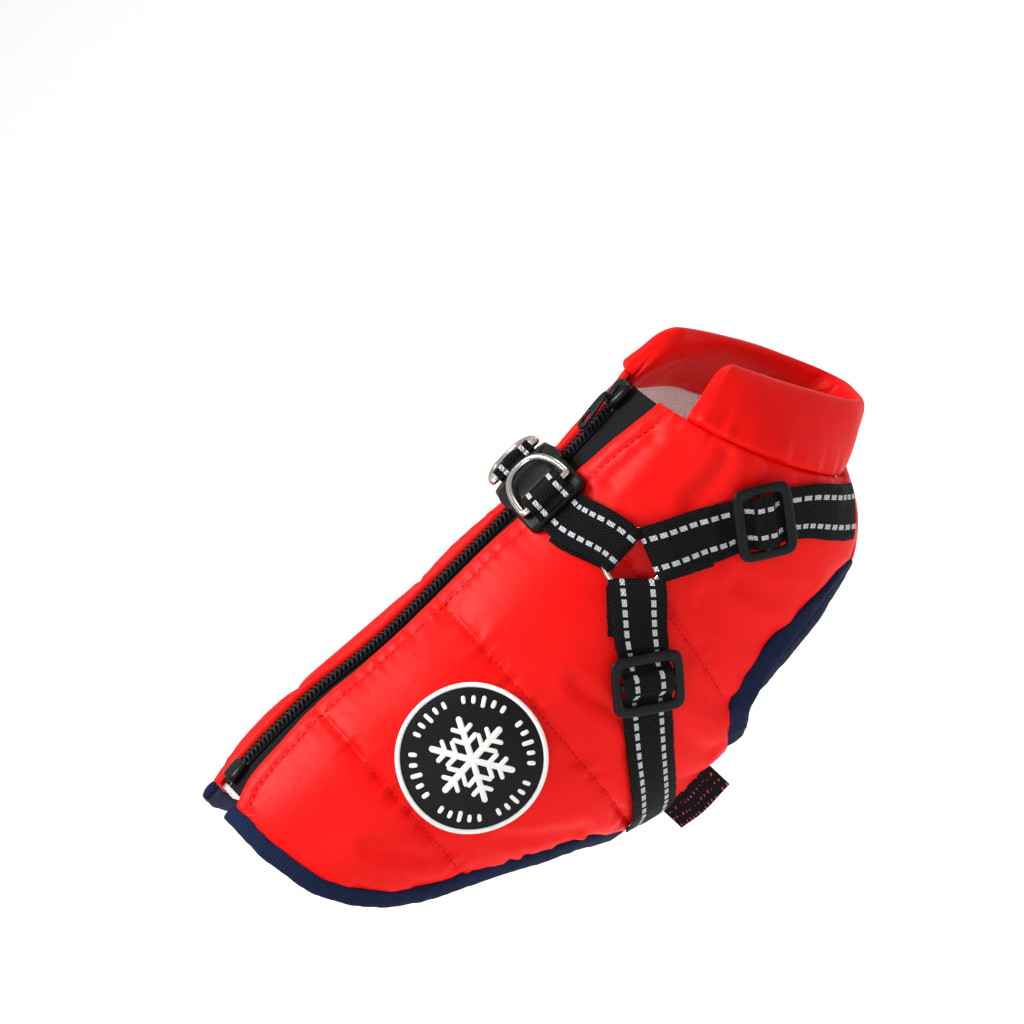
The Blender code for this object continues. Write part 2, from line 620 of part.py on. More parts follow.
def strap_frame(name, sign, distances):
    """Where a strap runs: station, angle, the vector across it and its base height."""
    station, angle, length = route(name, sign, distances)
    ahead_station, ahead_angle, _ = route(name, sign, np.minimum(distances + 2.6, length))
    behind_station, behind_angle, _ = route(name, sign, np.minimum(distances, length) - 2.6)
    along = body(ahead_station, ahead_angle) - body(behind_station, behind_angle)
    side = np.cross(outward(station, angle), along)
    side /= np.linalg.norm(side, axis=-1, keepdims=True)
    base = strap_base(station, angle, side)
    for near_station, near_angle in ((ahead_station, ahead_angle),
                                     (behind_station, behind_angle)):
        base = np.maximum(base, strap_base(near_station, near_angle, side))
    return station, angle, side, base


def glide_frame(name, sign):
    """A tri-glide's middle, its directions along and across the strap, and its normal."""
    at = GLIDES[name] + np.array((0, 1, -11.8, -7.6, 7.6, 11.8))
    station, angle, _, base = strap_frame(name, sign, at)
    foot = body(station, angle)
    up = outward(station, angle)[0]
    along = foot[1] - foot[0]
    along -= up * np.dot(along, up)
    along /= np.linalg.norm(along)
    floor = np.max(base - plane_lift(station, angle, foot[0], up)) + GLIDE_FLOOR
    return foot[0] + up * floor, along, np.cross(up, along), up


def plane_lift(station, angle, centre, up):
    """Lift of a plane, given by a point and its normal, above each point of the cloth."""
    return ((centre - body(station, angle)) @ up) / (outward(station, angle) @ up)


def o_ring_frame(sign):
    """The O-ring's centre and normal: clear of every strap's lower turn."""
    station, angle = np.array(O_RING_AT[0]), np.array(sign * O_RING_AT[1])
    up = outward(station, angle)
    near_wire = np.array([O_RING_RADIUS])
    highest = max(float(strap_frame(name, sign, near_wire)[3][0]) for name in STRAP_ROUTES)
    return body(station, angle) + up * (highest + WEBBING_THICKNESS + O_RING_CLEAR), up


def wire_place(name, sign):
    """Where a strap meets the O-ring's wire: distance along the strap, and lift."""
    centre, up = o_ring_frame(sign)
    distances = np.linspace(5, 15, 60)
    station, angle, _ = route(name, sign, distances)
    foot, normal = body(station, angle), outward(station, angle)
    lift = plane_lift(station, angle, centre, up)
    radius = np.linalg.norm(foot + normal * lift[:, None] - centre, axis=-1)
    distance = np.interp(O_RING_RADIUS, radius, distances)
    return distance, np.interp(distance, distances, lift)


def build_strap(name, side_name, end):
    """Webbing from its far end to the O-ring, round the wire and back under itself."""
    sign = side_sign(side_name)
    at_wire, wire = wire_place(name, sign)
    turn = WIRE_RADIUS + LOOP_CLEAR + WEBBING_THICKNESS / 2
    top = np.linspace(end, at_wire, int((end - at_wire) / 5.2) + 2)
    if name in GLIDES:
        top = top[np.abs(top - GLIDES[name]) > 9.5]
        top = np.sort(np.append(top, GLIDES[name] + np.array(GLIDE_FOLDS)))[::-1]
    fold = np.radians(np.linspace(90, 270, 7))[1:-1]
    under = np.linspace(at_wire, min(27, end - 2), 4)
    distances = np.concatenate([top, at_wire + turn * np.cos(fold), under])
    station, angle, side, base = strap_frame(name, sign, np.clip(distances, 1.0, None))
    half = WEBBING_THICKNESS / 2
    laid = base + half
    gathered = np.clip((distances - at_wire) / 11, 0, 1) ** 0.7
    over_wire = np.clip((38 - top) / 24, 0, 1) ** 1.5
    double = np.where(top < 34, WEBBING_THICKNESS + GAP, 0)
    top_height = np.maximum(laid[:len(top)] + double, (1 - over_wire) * laid[:len(top)]
                            + over_wire * (wire + turn))
    ring_plane = o_ring_frame(sign)
    if name in GLIDES:
        middle, ahead_of_bar, across, glide_up = glide_frame(name, sign)
        from_bar = distances - GLIDES[name]
        near = np.clip((14 - np.abs(from_bar)) / 4, 0, 1)
        over_bar = np.clip((6.8 - np.abs(from_bar)) / 4.2, 0, 1)
        under_glide = half + 0.1 - GLIDE_FLOOR
        glide_height = under_glide + over_bar * (GLIDE_HEIGHT + 0.5 + half - under_glide)
    near_end = np.clip((top - end) / STRAP_END_RUNS[name] + 1, 0, 1)
    top_height = top_height * (1 - near_end) + STRAP_END_LIFTS[name] * near_end
    low_height = laid[-len(under):] + (wire - turn - laid[-len(under)]) * np.linspace(1, 0, 4)
    height = np.concatenate([top_height, wire + turn * np.sin(fold), low_height])
    layer = np.concatenate([double, np.zeros(len(fold) + len(under))])
    centre = shell(station, angle, height)
    along = tangents(centre)
    up = np.cross(along, side)
    up /= np.linalg.norm(up, axis=-1, keepdims=True)
    ahead = np.cross(side, outward(station, angle))
    shares = (-1, -0.36, 0.36, 1)
    profile = [(share, half) for share in shares] + [(share, -half) for share in shares[::-1]]
    rows = []
    for share, thickness in profile:
        turned = share * GATHERED_HALF_ANGLE
        reach = (WEBBING_HALF_WIDTH * share * gathered
                 + distances * math.sin(turned) * (1 - gathered))
        bow = distances * (1 - math.cos(turned)) * (1 - gathered)
        shift = side * reach[:, None] - ahead * bow[:, None]
        s, a = moved(station, angle, shift)
        lift = height + (1 - gathered) * (plane_lift(s, a, *ring_plane)
                                          - plane_lift(station, angle, *ring_plane))
        lift = np.maximum(lift, loft(s, a) + 0.45 + half + layer)
        row = shell(s, a, lift) + up * thickness
        if name in GLIDES:
            in_glide = (middle + from_bar[:, None] * ahead_of_bar + reach[:, None] * across
                        + (glide_height - thickness)[:, None] * glide_up)
            row += near[:, None] * (in_glide - row)
        rows.append(row)
    tube(side_name + "_" + name, np.stack(rows, axis=1), "black_webbing")


def ring_of_wire(name, path, normal, pivot):
    """A closed ring of round wire along a path in one plane."""
    along = tangents(path, closed=True)
    up = np.repeat(normal[None, :], len(path), axis=0)
    side = np.cross(along, up)
    t = np.linspace(0, 2 * math.pi, WIRE_SIDES, endpoint=False)
    profile = np.stack([np.cos(t), np.sin(t)], -1) * WIRE_RADIUS
    tube(name, sections_along(path, side, up, profile), "nickel_wire", True, pivot)


def build_o_ring(side_name):
    sign = side_sign(side_name)
    centre, up = o_ring_frame(sign)
    first = np.cross(up, (0.0, 0.0, 1.0))
    first /= np.linalg.norm(first)
    second = np.cross(up, first)
    t = np.linspace(0, 2 * math.pi, 24, endpoint=False)[:, None]
    path = centre + O_RING_RADIUS * (np.cos(t) * first + np.sin(t) * second)
    ring_of_wire(side_name + "_o_ring", path, up, centre)


def build_glide(name, side_name):
    """A tri-glide: a plastic frame over the webbing, which rises over its middle bar."""
    frame = glide_frame(name, side_sign(side_name))
    plate(side_name + "_" + name.replace("strap", "glide"), frame, GLIDE_BARS, GLIDE_SIDES,
          {(1, 1), (3, 1)}, (0, GLIDE_HEIGHT), "black_plastic", corner=1.2)


def curved_block(name, stations, reaches, lifts, colour):
    """A block that follows the back, between two lifts that may differ for each reach."""
    station = np.repeat(np.array(stations, float)[:, None], len(reaches), axis=1)
    angle = np.stack([spine_angle(station[:, 0], reach) for reach in reaches], -1)
    low, high = (np.broadcast_to(np.array(lift, float), angle.shape) for lift in lifts)
    return wall(name, shell(station, angle, low), shell(station, angle, high), colour)


def build_buckle():
    """The two halves of the closed buckle, the socket on the right and the plug in it."""
    mid = WITHERS_STATION + 0.5
    stations = mid + np.array((-1, -0.82, -0.4, 0, 0.4, 0.82, 1)) * BUCKLE_HALF_WIDTH
    low, high = BUCKLE_LIFTS
    socket = np.array((BUCKLE_REACH, 19.5, 12, 8, 4, 0, -3.8))
    curved_block("buckle_socket", stations, socket,
                 (low, (high - 1.4, high, high, high, high + 0.6, high + 0.6, high)),
                 "black_plastic")
    plug = np.array((-4.3, -8, -12, -19.5, -BUCKLE_REACH))
    curved_block("buckle_plug", stations, plug, (low, (high, high, high, high, high - 1.4)),
                 "black_plastic")


def d_bar(side_name):
    """The straight bar of a D-ring: its middle, in millimetres, above the buckle's top."""
    sign = side_sign(side_name)
    station = np.array(WITHERS_STATION + 0.5)
    angle = sign * spine_angle(station, D_BAR_REACH)
    return station, angle, shell(station, angle, BUCKLE_LIFTS[1] + D_BAR_CLEAR + WIRE_RADIUS)


def build_d_ring(side_name):
    """A D of wire. The right one lies over the buckle, the left one outwards."""
    station, angle, middle = d_bar(side_name)
    lean = math.radians(D_RING_LEAN[side_name])
    reach = np.array((0.0, math.cos(lean), math.sin(lean)))
    bar = np.array((1.0, 0.0, 0.0))
    t = np.linspace(0, math.pi, 21)
    bow = np.stack([D_RING_HALF_WIDTH * np.sign(np.cos(t)) * np.abs(np.cos(t)) ** 0.75,
                    D_RING_REACH * np.sin(t) ** 0.9], -1)
    straight = np.stack([np.linspace(-1, 1, 7)[1:-1] * D_RING_HALF_WIDTH, np.zeros(5)], -1)
    outline = spaced(np.concatenate([bow, straight]), 32, closed=True)
    path = middle + outline[:, :1] * bar + outline[:, 1:] * reach
    ring_of_wire(side_name + "_d_ring", path, np.cross(bar, reach), middle)


def build_d_loop(side_name):
    """The webbing that arches over a D-ring's bar, with a foot on either side of it."""
    sign = side_sign(side_name)
    top = BUCKLE_LIFTS[1]
    half = WEBBING_THICKNESS / 2
    bar_lift = top + D_BAR_CLEAR + WIRE_RADIUS
    arch = WIRE_RADIUS + GAP + half
    turn = np.radians(np.linspace(180, 0, 9))
    reach = np.concatenate([[-5.2, -3.4], arch * 1.05 * np.cos(turn), [3.4, 5.2]])
    lift = np.concatenate([[top + GAP + half] * 2, bar_lift + arch * np.sin(turn),
                           [top + GAP + half] * 2])
    lift = np.maximum(lift, top + GAP + half)
    stations = WITHERS_STATION + 0.5 + np.array((-8.6, 0, 8.6))
    thickness = np.gradient(np.stack([reach, lift], -1), axis=0)
    thickness /= np.linalg.norm(thickness, axis=-1, keepdims=True)
    grids = []
    for way in (half, -half):
        reaches = D_BAR_REACH + reach - thickness[:, 1] * way
        lifts = lift + thickness[:, 0] * way
        angle = sign * np.stack([spine_angle(stations, r) for r in reaches], -1)
        grids.append(shell(np.repeat(stations[:, None], len(reaches), 1), angle,
                           np.broadcast_to(lifts, angle.shape)))
    wall(side_name + "_d_loop", grids[0], grids[1], "black_webbing")


# -------------------------------------------------------------------- patch and label

def build_patch():
    """A thin round disc of soft rubber on the right side, from the panel's points."""
    station, angle = (np.array(value) for value in PATCH_AT)
    by_station, _ = slopes_of(station, angle)
    first = by_station / np.linalg.norm(by_station)
    second = np.cross(outward(station, angle), first)
    t = np.linspace(0, 2 * math.pi, 32, endpoint=False)[:, None]
    direction = np.cos(t) * first + np.sin(t) * second
    radii = np.array(PATCH_RINGS) * PATCH_RADIUS
    sections = []
    for lift, ring in ((PATCH_LIFTS[0], radii), (PATCH_LIFTS[1], radii[::-1])):
        for radius in ring:
            s, a = moved(station, angle, direction * radius)
            sections.append(shell(s, a, loft(s, a) + lift))
    tube("patch", np.stack(sections), "patch_rubber")


def build_label():
    """The woven label that hangs out of the right belly seam."""
    stations = LABEL_STATION + np.array((-0.5, -0.17, 0.17, 0.5)) * LABEL_WIDTH
    edge = lower_angle(stations)
    top = shell(stations, edge - 1, loft(stations, edge - 1) + 0.9)
    hang = np.array((0.05, -0.42, -0.9))
    drops = np.array((0.0, 0.35, 0.7, 1.0)) * LABEL_DROP
    front = top[:, None] + hang * drops[:, None]
    back = front + outward(stations, edge)[:, None] * 0.7
    wall("label", front, back, "black_webbing")


def build_jacket():
    for side in ("right", "left"):
        build_side_panel(side)
        build_side_lining(side)
        build_o_ring(side)
        for name in STRAP_ROUTES:
            build_strap(name, side, route(name, 1, np.array([0.0]))[2])
        for name in GLIDES:
            build_glide(name, side)
        build_d_ring(side)
        build_d_loop(side)
    build_chest_and_lining()
    build_bindings()
    build_collar()
    build_zip()
    build_buckle()
    build_patch()
    build_label()


build_jacket()
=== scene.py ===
import math

import bmesh
import bpy
import numpy as np
from mathutils import Matrix, Vector


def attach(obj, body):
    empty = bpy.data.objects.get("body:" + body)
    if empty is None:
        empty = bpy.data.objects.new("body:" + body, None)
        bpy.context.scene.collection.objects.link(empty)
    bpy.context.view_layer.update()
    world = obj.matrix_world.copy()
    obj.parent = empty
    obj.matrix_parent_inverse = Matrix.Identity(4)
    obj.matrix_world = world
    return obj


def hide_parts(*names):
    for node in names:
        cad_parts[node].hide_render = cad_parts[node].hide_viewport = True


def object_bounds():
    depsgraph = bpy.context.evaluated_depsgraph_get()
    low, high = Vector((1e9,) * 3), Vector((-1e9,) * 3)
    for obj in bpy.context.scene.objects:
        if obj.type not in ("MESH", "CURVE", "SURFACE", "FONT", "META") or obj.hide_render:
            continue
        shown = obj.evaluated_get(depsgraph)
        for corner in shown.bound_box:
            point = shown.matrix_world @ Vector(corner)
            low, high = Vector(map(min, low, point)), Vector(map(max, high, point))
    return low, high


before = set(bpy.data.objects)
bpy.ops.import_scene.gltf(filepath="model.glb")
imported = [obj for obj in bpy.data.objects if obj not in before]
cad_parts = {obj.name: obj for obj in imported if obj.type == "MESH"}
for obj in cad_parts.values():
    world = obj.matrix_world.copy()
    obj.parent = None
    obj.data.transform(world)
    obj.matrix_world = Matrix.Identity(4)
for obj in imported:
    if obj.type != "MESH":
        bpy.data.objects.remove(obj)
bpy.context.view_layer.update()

print("frame loaded:", len(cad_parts), "nodes")

# The cloth has two coordinates: station, in mm along the spine from the end of the zip's
# teeth, and angle round the body, 0 at the spine and 180 under the belly, plus on the right.
# Lift is the height in mm above the panels' plain inside. All sizes here are in mm.
ringColumns = ("spineX", "spineZ", "underX", "underZ", "halfWidth")
rings = np.array([(-14, 1.0, -16, -92, 42), (12, 4.0, 12, -98, 46), (38, 4.5, 38, -104, 50),
                  (76, 1.0, 76, -116, 55), (112, 1.5, 114, -124, 53),
                  (145, 2.0, 158, -127, 50), (175, 3.0, 202, -119, 47),
                  (195, 4.5, 232, -99, 44), (208, 6.0, 243, -77, 42)], float)
drift = {"station": (-14, 38.8, 99.5, 161, 208), "back": (0, 5, 8, 27, 0)}
quiltStations = (38.8, 99.5, 161.0)
tail, hemCorner, armBack, armFront, neck = -7.5, 99.5, 155.0, 195.4, 207.3
withers = 155.0
zipGap = {"station": (-7.5, 0, 20, 60, 100, 133, 160, 172, 185, 205),
          "right": (13, 10.5, 9, 7, 6.6, 6.8, 9, 11.5, 13.5, 18),
          "left": (11, 8.5, 6.5, 5.5, 5.5, 5.5, 6, 7, 8.5, 12)}
lowerEdge = (((-7.5, 44), (-4.5, 64.5), (1, 79), (8, 90), (22, 102), (38.8, 109.5),
              (63.5, 119), (86.5, 131.5), (99.5, 152)),
             ((99.5, 152), (127, 153.5), (155, 154)),
             ((155, 154), (157, 140), (160, 125.5), (165.5, 118.5), (172, 115.5),
              (178, 115.5), (184.5, 120), (191, 129), (194, 135), (195.4, 142)),
             ((195.4, 142), (199, 143), (203, 146.5), (208, 156)))
chestArmhole = np.array([(155, 154), (158, 158), (165, 160), (176, 160), (185, 158), (191, 154.5),
                         (194.2, 149), (195.4, 142)], float)
bellyRise = {"station": (-14, 76, 99.5, 127, 148, 160, 170, 182, 190, 197, 208),
             "rise": (0, 0, 1.0, 1.6, 3.4, 6.5, 8.5, 8.5, 6.5, 4.5, 4.0)}
flankPinch = 0.3   # how much narrower the left flank is just below the spine


def smoothCurve(x, knownX, knownY):
    # cubic pieces whose slopes come from the neighbouring points
    knownX, knownY = np.asarray(knownX, float), np.asarray(knownY, float)
    slopes = np.gradient(knownY, knownX)
    x = np.asarray(x, float)
    i = np.clip(np.searchsorted(knownX, x) - 1, 0, len(knownX) - 2)
    span = knownX[i + 1] - knownX[i]
    t = (x - knownX[i]) / span
    return ((2 * t**3 - 3 * t**2 + 1) * knownY[i] + (t**3 - 2 * t**2 + t) * span * slopes[i]
            + (3 * t**2 - 2 * t**3) * knownY[i + 1] + (t**3 - t**2) * span * slopes[i + 1])


def smoothStep(x, start, end):
    # 0 before start, 1 after end, eased between
    t = np.clip((x - start) / (end - start), 0, 1)
    return t * t * (3 - 2 * t)


def ringValue(column, station):
    # one column of the ring table, read between its rows
    return smoothCurve(station, rings[:, 0], rings[:, ringColumns.index(column)])


def body(station, angle):
    # the panels' inside: an ellipse round each ring, which leans from spine to belly; the belly
    # is raised between the seams and the left flank drawn in below the spine
    around = np.radians(np.asarray(angle, float))
    at = (np.asarray(station, float)
          - smoothCurve(station, drift["station"], drift["back"]) * (1 - np.cos(around)) / 2)
    spineX, spineZ, underX, underZ, halfWidth = (ringValue(name, at) for name in ringColumns)
    fromBelly = np.abs(180 - np.abs(angle))
    rise = (smoothCurve(station, bellyRise["station"], bellyRise["rise"])
            * smoothStep(fromBelly, 42, 18))
    pinch = (flankPinch * (np.sin(around) < 0) * smoothStep(fromBelly, 180, 164)
             * smoothStep(fromBelly, 96, 142))
    return np.stack([(spineX + underX) / 2 + (spineX - underX) / 2 * np.cos(around),
                     -halfWidth * np.sin(around) * (1 - pinch),
                     (spineZ + underZ) / 2 + (spineZ - underZ) / 2 * np.cos(around) + rise],
                    axis=-1)


def slopesOf(station, angle, step=0.5):
    # how far the body moves for 1 mm of station and for 1 degree of angle
    byStation = body(np.add(station, step), angle) - body(np.subtract(station, step), angle)
    byAngle = body(station, np.add(angle, step)) - body(station, np.subtract(angle, step))
    return byStation / (2 * step), byAngle / (2 * step)


def unit(v):
    # a vector divided by its length
    return v / np.linalg.norm(v, axis=-1, keepdims=True)


def outward(station, angle):
    # the body's normal: across both slopes
    byStation, byAngle = slopesOf(station, angle)
    return unit(np.cross(byAngle, byStation))


def shell(station, angle, lift):
    # a point of the cloth moved out along the body's normal
    return body(station, angle) + outward(station, angle) * np.asarray(lift, float)[..., None]


def moved(station, angle, shift):
    # three Newton steps to the cloth under a point that is moved by a vector
    target = body(station, angle) + shift
    for _ in range(3):
        byStation, byAngle = slopesOf(station, angle)
        rest = target - body(station, angle)
        aa, ab, bb = (np.sum(p * q, axis=-1) for p, q in
                      ((byStation, byStation), (byStation, byAngle), (byAngle, byAngle)))
        ra, rb = np.sum(rest * byStation, axis=-1), np.sum(rest * byAngle, axis=-1)
        det = aa * bb - ab * ab
        station = station + (ra * bb - rb * ab) / det
        angle = angle + (rb * aa - ra * ab) / det
    return station, angle


def spineAngle(station, reach):
    # the angle at a distance from the spine: reach / half width
    return np.degrees(reach / ringValue("halfWidth", station))


def placketReach(station, side):
    # how far the panel's edge stands from the middle of the zip
    return smoothCurve(station, zipGap["station"], zipGap[side])


def lowerAngle(station):
    # the angle of a side panel's lower edge: hem, belly seam, armhole, chest seam in turn
    station = np.asarray(station, float)
    angle = np.zeros_like(station)
    for span in lowerEdge:
        table = np.array(span, float)
        inside = (station >= table[0, 0] - 1e-6) & (station <= table[-1, 0] + 1e-6)
        angle = np.where(inside, smoothCurve(station, table[:, 0], table[:, 1]), angle)
    return angle


liningInside = -2.7   # mm, the lining's inner face in the solids
holdPoint = shell(np.array(withers), np.array(0.0), liningInside)   # the frame's origin


def toMesh(name, points, quads, uv=None, caps=()):
    # points in mm around the hold point, quads as an index array, uv one pair a point
    mesh = bpy.data.meshes.new(name)
    places = (np.asarray(points).reshape(-1, 3) - holdPoint) * 0.001
    mesh.from_pydata(places, [], np.asarray(quads).tolist() + [list(c) for c in caps])
    if uv is not None:
        corner = np.empty(len(mesh.loops), np.int32)
        mesh.loops.foreach_get("vertex_index", corner)
        layer = mesh.uv_layers.new(name="cloth")
        layer.uv.foreach_set("vector", np.asarray(uv, np.float32).reshape(-1, 2)[corner].ravel())
    mesh.shade_smooth()
    made = bpy.data.objects.new(name, mesh)
    bpy.context.scene.collection.objects.link(made)
    return made


def outwardFaces(made):
    # turns every face of a closed mesh outwards
    working = bmesh.new()
    working.from_mesh(made.data)
    bmesh.ops.recalc_face_normals(working, faces=working.faces)
    working.to_mesh(made.data)
    working.free()
    return made


def gridQuads(rows, columns, start=0, closeRows=False, closeColumns=False):
    # four corners of every cell of a grid of points, joined round where it closes
    i = np.arange(rows if closeRows else rows - 1)[:, None]
    j = np.arange(columns if closeColumns else columns - 1)[None, :]
    here = lambda a, b: (a % rows) * columns + (b % columns) + start
    return np.stack([here(i, j), here(i + 1, j), here(i + 1, j + 1), here(i, j + 1)],
                    axis=-1).reshape(-1, 4)


def wallPiece(name, inner, outer, uv=None):
    # two grids of one size joined round their edges
    rows, columns = inner.shape[:2]
    index = np.arange(rows * columns).reshape(rows, columns)
    rim = np.concatenate([index[:, 0], index[-1, 1:], index[-2::-1, -1], index[0, -2:0:-1]])
    ahead = np.roll(rim, -1)
    size = rows * columns
    quads = np.concatenate([gridQuads(rows, columns), gridQuads(rows, columns, size)[:, ::-1],
                            np.stack([rim, rim + size, ahead + size, ahead], -1)])
    points = np.concatenate([inner.reshape(-1, 3), outer.reshape(-1, 3)])
    both = None if uv is None else np.concatenate([uv.reshape(-1, 2)] * 2)
    return outwardFaces(toMesh(name, points, quads, both))


def rodsPiece(name, sections):
    # many rods in one mesh: sections counts rods, rows and points round a row
    number, rows, around = sections.shape[:3]
    size = rows * around
    quads = gridQuads(rows, around, closeColumns=True) + np.arange(number)[:, None, None] * size
    caps = [range(first, first + around) for first in range(0, number * size, size)]
    caps += [range(last, last - around, -1) for last in range(size - 1, number * size, size)]
    return outwardFaces(toMesh(name, sections, quads.reshape(-1, 4), None, caps))


def tubePiece(name, sections, closed=False, uv=None):
    # a row of closed sections, with a flat cap at each end unless the ends meet
    count, around = sections.shape[:2]
    quads = gridQuads(count, around, closeRows=closed, closeColumns=True)
    last = (count - 1) * around
    caps = () if closed else (range(around), range(last + around - 1, last - 1, -1))
    return outwardFaces(toMesh(name, sections, quads, uv, caps))


def tangents(path, closed=False):
    # direction of the next point from the last one
    step = (np.roll(path, -1, 0) - np.roll(path, 1, 0)) if closed else np.gradient(path, axis=0)
    return unit(step)


def carried(path, side, up, profile):
    # a profile (across, up) carried along a path by two vectors a point
    return (path[:, None, :] + side[:, None, :] * profile[..., 0, None]
            + up[:, None, :] * profile[..., 1, None])


def runOf(points):
    # distance along a row of points: the sum of the steps so far
    steps = np.linalg.norm(np.diff(points, axis=0), axis=-1)
    return np.concatenate([[0], np.cumsum(steps)])


def smoothed(ring, times):
    # each point of a closed ring goes to (before + 2 * itself + after) / 4
    for _ in range(times):
        ring = (np.roll(ring, 1, 0) + 2 * ring + np.roll(ring, -1, 0)) / 4
    return ring


def edgeRound(fromEdge, radius, least=0.0):
    # share of full height at a rounded edge: sqrt(1 - (1 - fromEdge / radius) ^ 2)
    return np.sqrt(np.clip(1 - (1 - np.clip(fromEdge / radius, 0, 1)) ** 2, least, 1))


def softBox(turn, power):
    # a ring from an ellipse, power 1, to a box, power 0: |cos| ^ power and |sin| ^ power
    wave = np.stack([np.cos(turn), np.sin(turn)], -1)
    return np.sign(wave) * np.abs(wave) ** power


def spaced(points, count, closed=False):
    # the same line with its points evenly apart
    if closed:
        points = np.concatenate([points, points[:1]])
    total = runOf(points)
    at = np.linspace(0, total[-1], count + 1 if closed else count)
    even = np.stack([np.interp(at, total, points[:, k]) for k in range(points.shape[1])], -1)
    return even[:-1] if closed else even


def ripples(x, y, seed=0.0):
    # smooth noise from -1 to 1: a random height on each whole-number corner, blended between
    x, y = np.broadcast_arrays(np.asarray(x, float), np.asarray(y, float))
    cx, cy = np.floor(x), np.floor(y)
    fx, fy = x - cx, y - cy
    fx, fy = fx * fx * (3 - 2 * fx), fy * fy * (3 - 2 * fy)
    corner = lambda i, j: np.modf(np.abs(np.sin((cx + i) * 127.1 + (cy + j) * 311.7
                                                + seed * 74.7) * 43758.5453))[0] * 2 - 1
    low = corner(0, 0) * (1 - fx) + corner(1, 0) * fx
    high = corner(0, 1) * (1 - fx) + corner(1, 1) * fx
    return low * (1 - fy) + high * fy


def toLinear(hexColour):
    # sRGB to linear: part / 12.92 below 0.04045, else ((part + 0.055) / 1.055) ^ 2.4
    part = np.array([int(hexColour[i:i + 2], 16) for i in (0, 2, 4)]) / 255
    return (*np.where(part <= 0.04045, part / 12.92, ((part + 0.055) / 1.055) ** 2.4), 1.0)


def setInputs(tree, node, inputs):
    # each input is a number, a colour or another node's output
    for key, value in inputs.items():
        if isinstance(value, bpy.types.NodeSocket):
            tree.links.new(value, node.inputs[key])
        else:
            node.inputs[key].default_value = value


def addNode(tree, kind, inputs, **settings):
    # adds one node with its settings and inputs, and gives its outputs
    node = tree.nodes.new("ShaderNode" + kind)
    for name, value in settings.items():
        setattr(node, name, value)
    setInputs(tree, node, inputs)
    return node.outputs


def newFinish(name):
    made = bpy.data.materials.new(name)
    made.use_nodes = True
    return made, made.node_tree, made.node_tree.nodes["Principled BSDF"]


def clouds(tree, scale, detail, **more):
    # soft noise in the piece's own space, with this many clouds a metre
    spot = addNode(tree, "TexCoord", {})["Object"]
    return addNode(tree, "TexNoise",
                   {"Vector": spot, "Scale": scale, "Detail": detail, **more})["Fac"]


def clothPlace(tree):
    # mm along and across the cloth, from the piece's UV map
    return addNode(tree, "SeparateXYZ", {0: addNode(tree, "UVMap", {}, uv_map="cloth")["UV"]})


def stripes(tree, place, pitch):
    # sin(2 pi place / pitch)
    turns = addNode(tree, "Math", {0: place, 1: 2 * math.pi / pitch}, operation="MULTIPLY")[0]
    return addNode(tree, "Math", {0: turns}, operation="SINE")[0]


def dress(tree, shader, share, colours, bump, inputs):
    # the base colour goes from one colour to the other with share; bump is a height, its
    # strength and its depth in metres
    ends = [toLinear(c) if isinstance(c, str) else c for c in colours]
    tone = addNode(tree, "Mix", {0: share, 6: ends[0], 7: ends[1]}, data_type="RGBA")[2]
    normal = addNode(tree, "Bump", dict(zip(("Height", "Strength", "Distance"), bump)))[0]
    setInputs(tree, shader, {"Base Color": tone, "Normal": normal, **inputs})


def nylonTaffeta():
    # woven nylon shell over wadding: a broad soft shine, a fine weave and slack wrinkles
    look = {"light": "ee0b06", "deep": "dc0603", "weave": 0.0011, "wrinkle": 0.007}
    made, tree, shader = newFinish("nylonTaffeta")
    # real taffeta has 0.1 mm threads; they are drawn at 1.1 mm so that they show
    spot = addNode(tree, "TexCoord", {})["Object"]
    weave = addNode(tree, "TexWave", {"Vector": spot, "Scale": 0.314 / look["weave"],
                                      "Distortion": 0.6}, bands_direction="X")["Fac"]
    slack = clouds(tree, 1 / look["wrinkle"], 4.0, Roughness=0.55, Distortion=0.7)
    height = addNode(tree, "Math", {0: weave, 1: 0.04, 2: slack}, operation="MULTIPLY_ADD")[0]
    dress(tree, shader, clouds(tree, 55.0, 3.0), (look["light"], look["deep"]),
          (height, 0.35, 0.0006), {"Roughness": 0.48, "IOR": 1.5, "Specular IOR Level": 0.13})
    return made


def brushedFleece():
    # brushed polyester pile: short, matt and uneven, with a soft glow at its edges
    made, tree, shader = newFinish("brushedFleece")
    spot = addNode(tree, "TexCoord", {})["Object"]
    tufts = addNode(tree, "TexVoronoi", {"Vector": spot, "Scale": 620.0})["Distance"]
    cloud = clouds(tree, 300.0, 3.0)
    height = addNode(tree, "Math", {0: tufts, 1: cloud}, operation="ADD")[0]
    dress(tree, shader, cloud, ("fffefc", "ece6e2"), (height, 0.6, 0.0006),
          {"Roughness": 0.95, "Sheen Weight": 0.4, "Sheen Roughness": 0.6})
    return made


def cottonRib():
    # cotton rib tape: matt, with ribs across its width every 1.3 mm
    made, tree, shader = newFinish("cottonRibKnit")
    rib = stripes(tree, clothPlace(tree)["X"], 1.3)
    fuzz = clouds(tree, 900.0, 3.0)
    height = addNode(tree, "Math", {0: rib, 1: 0.5, 2: fuzz}, operation="MULTIPLY_ADD")[0]
    dress(tree, shader, fuzz, ("0f1730", "182341"), (height, 0.5, 0.00035),
          {"Roughness": 0.9, "Specular IOR Level": 0.1, "Sheen Weight": 0.04,
           "Sheen Roughness": 0.5})
    return made


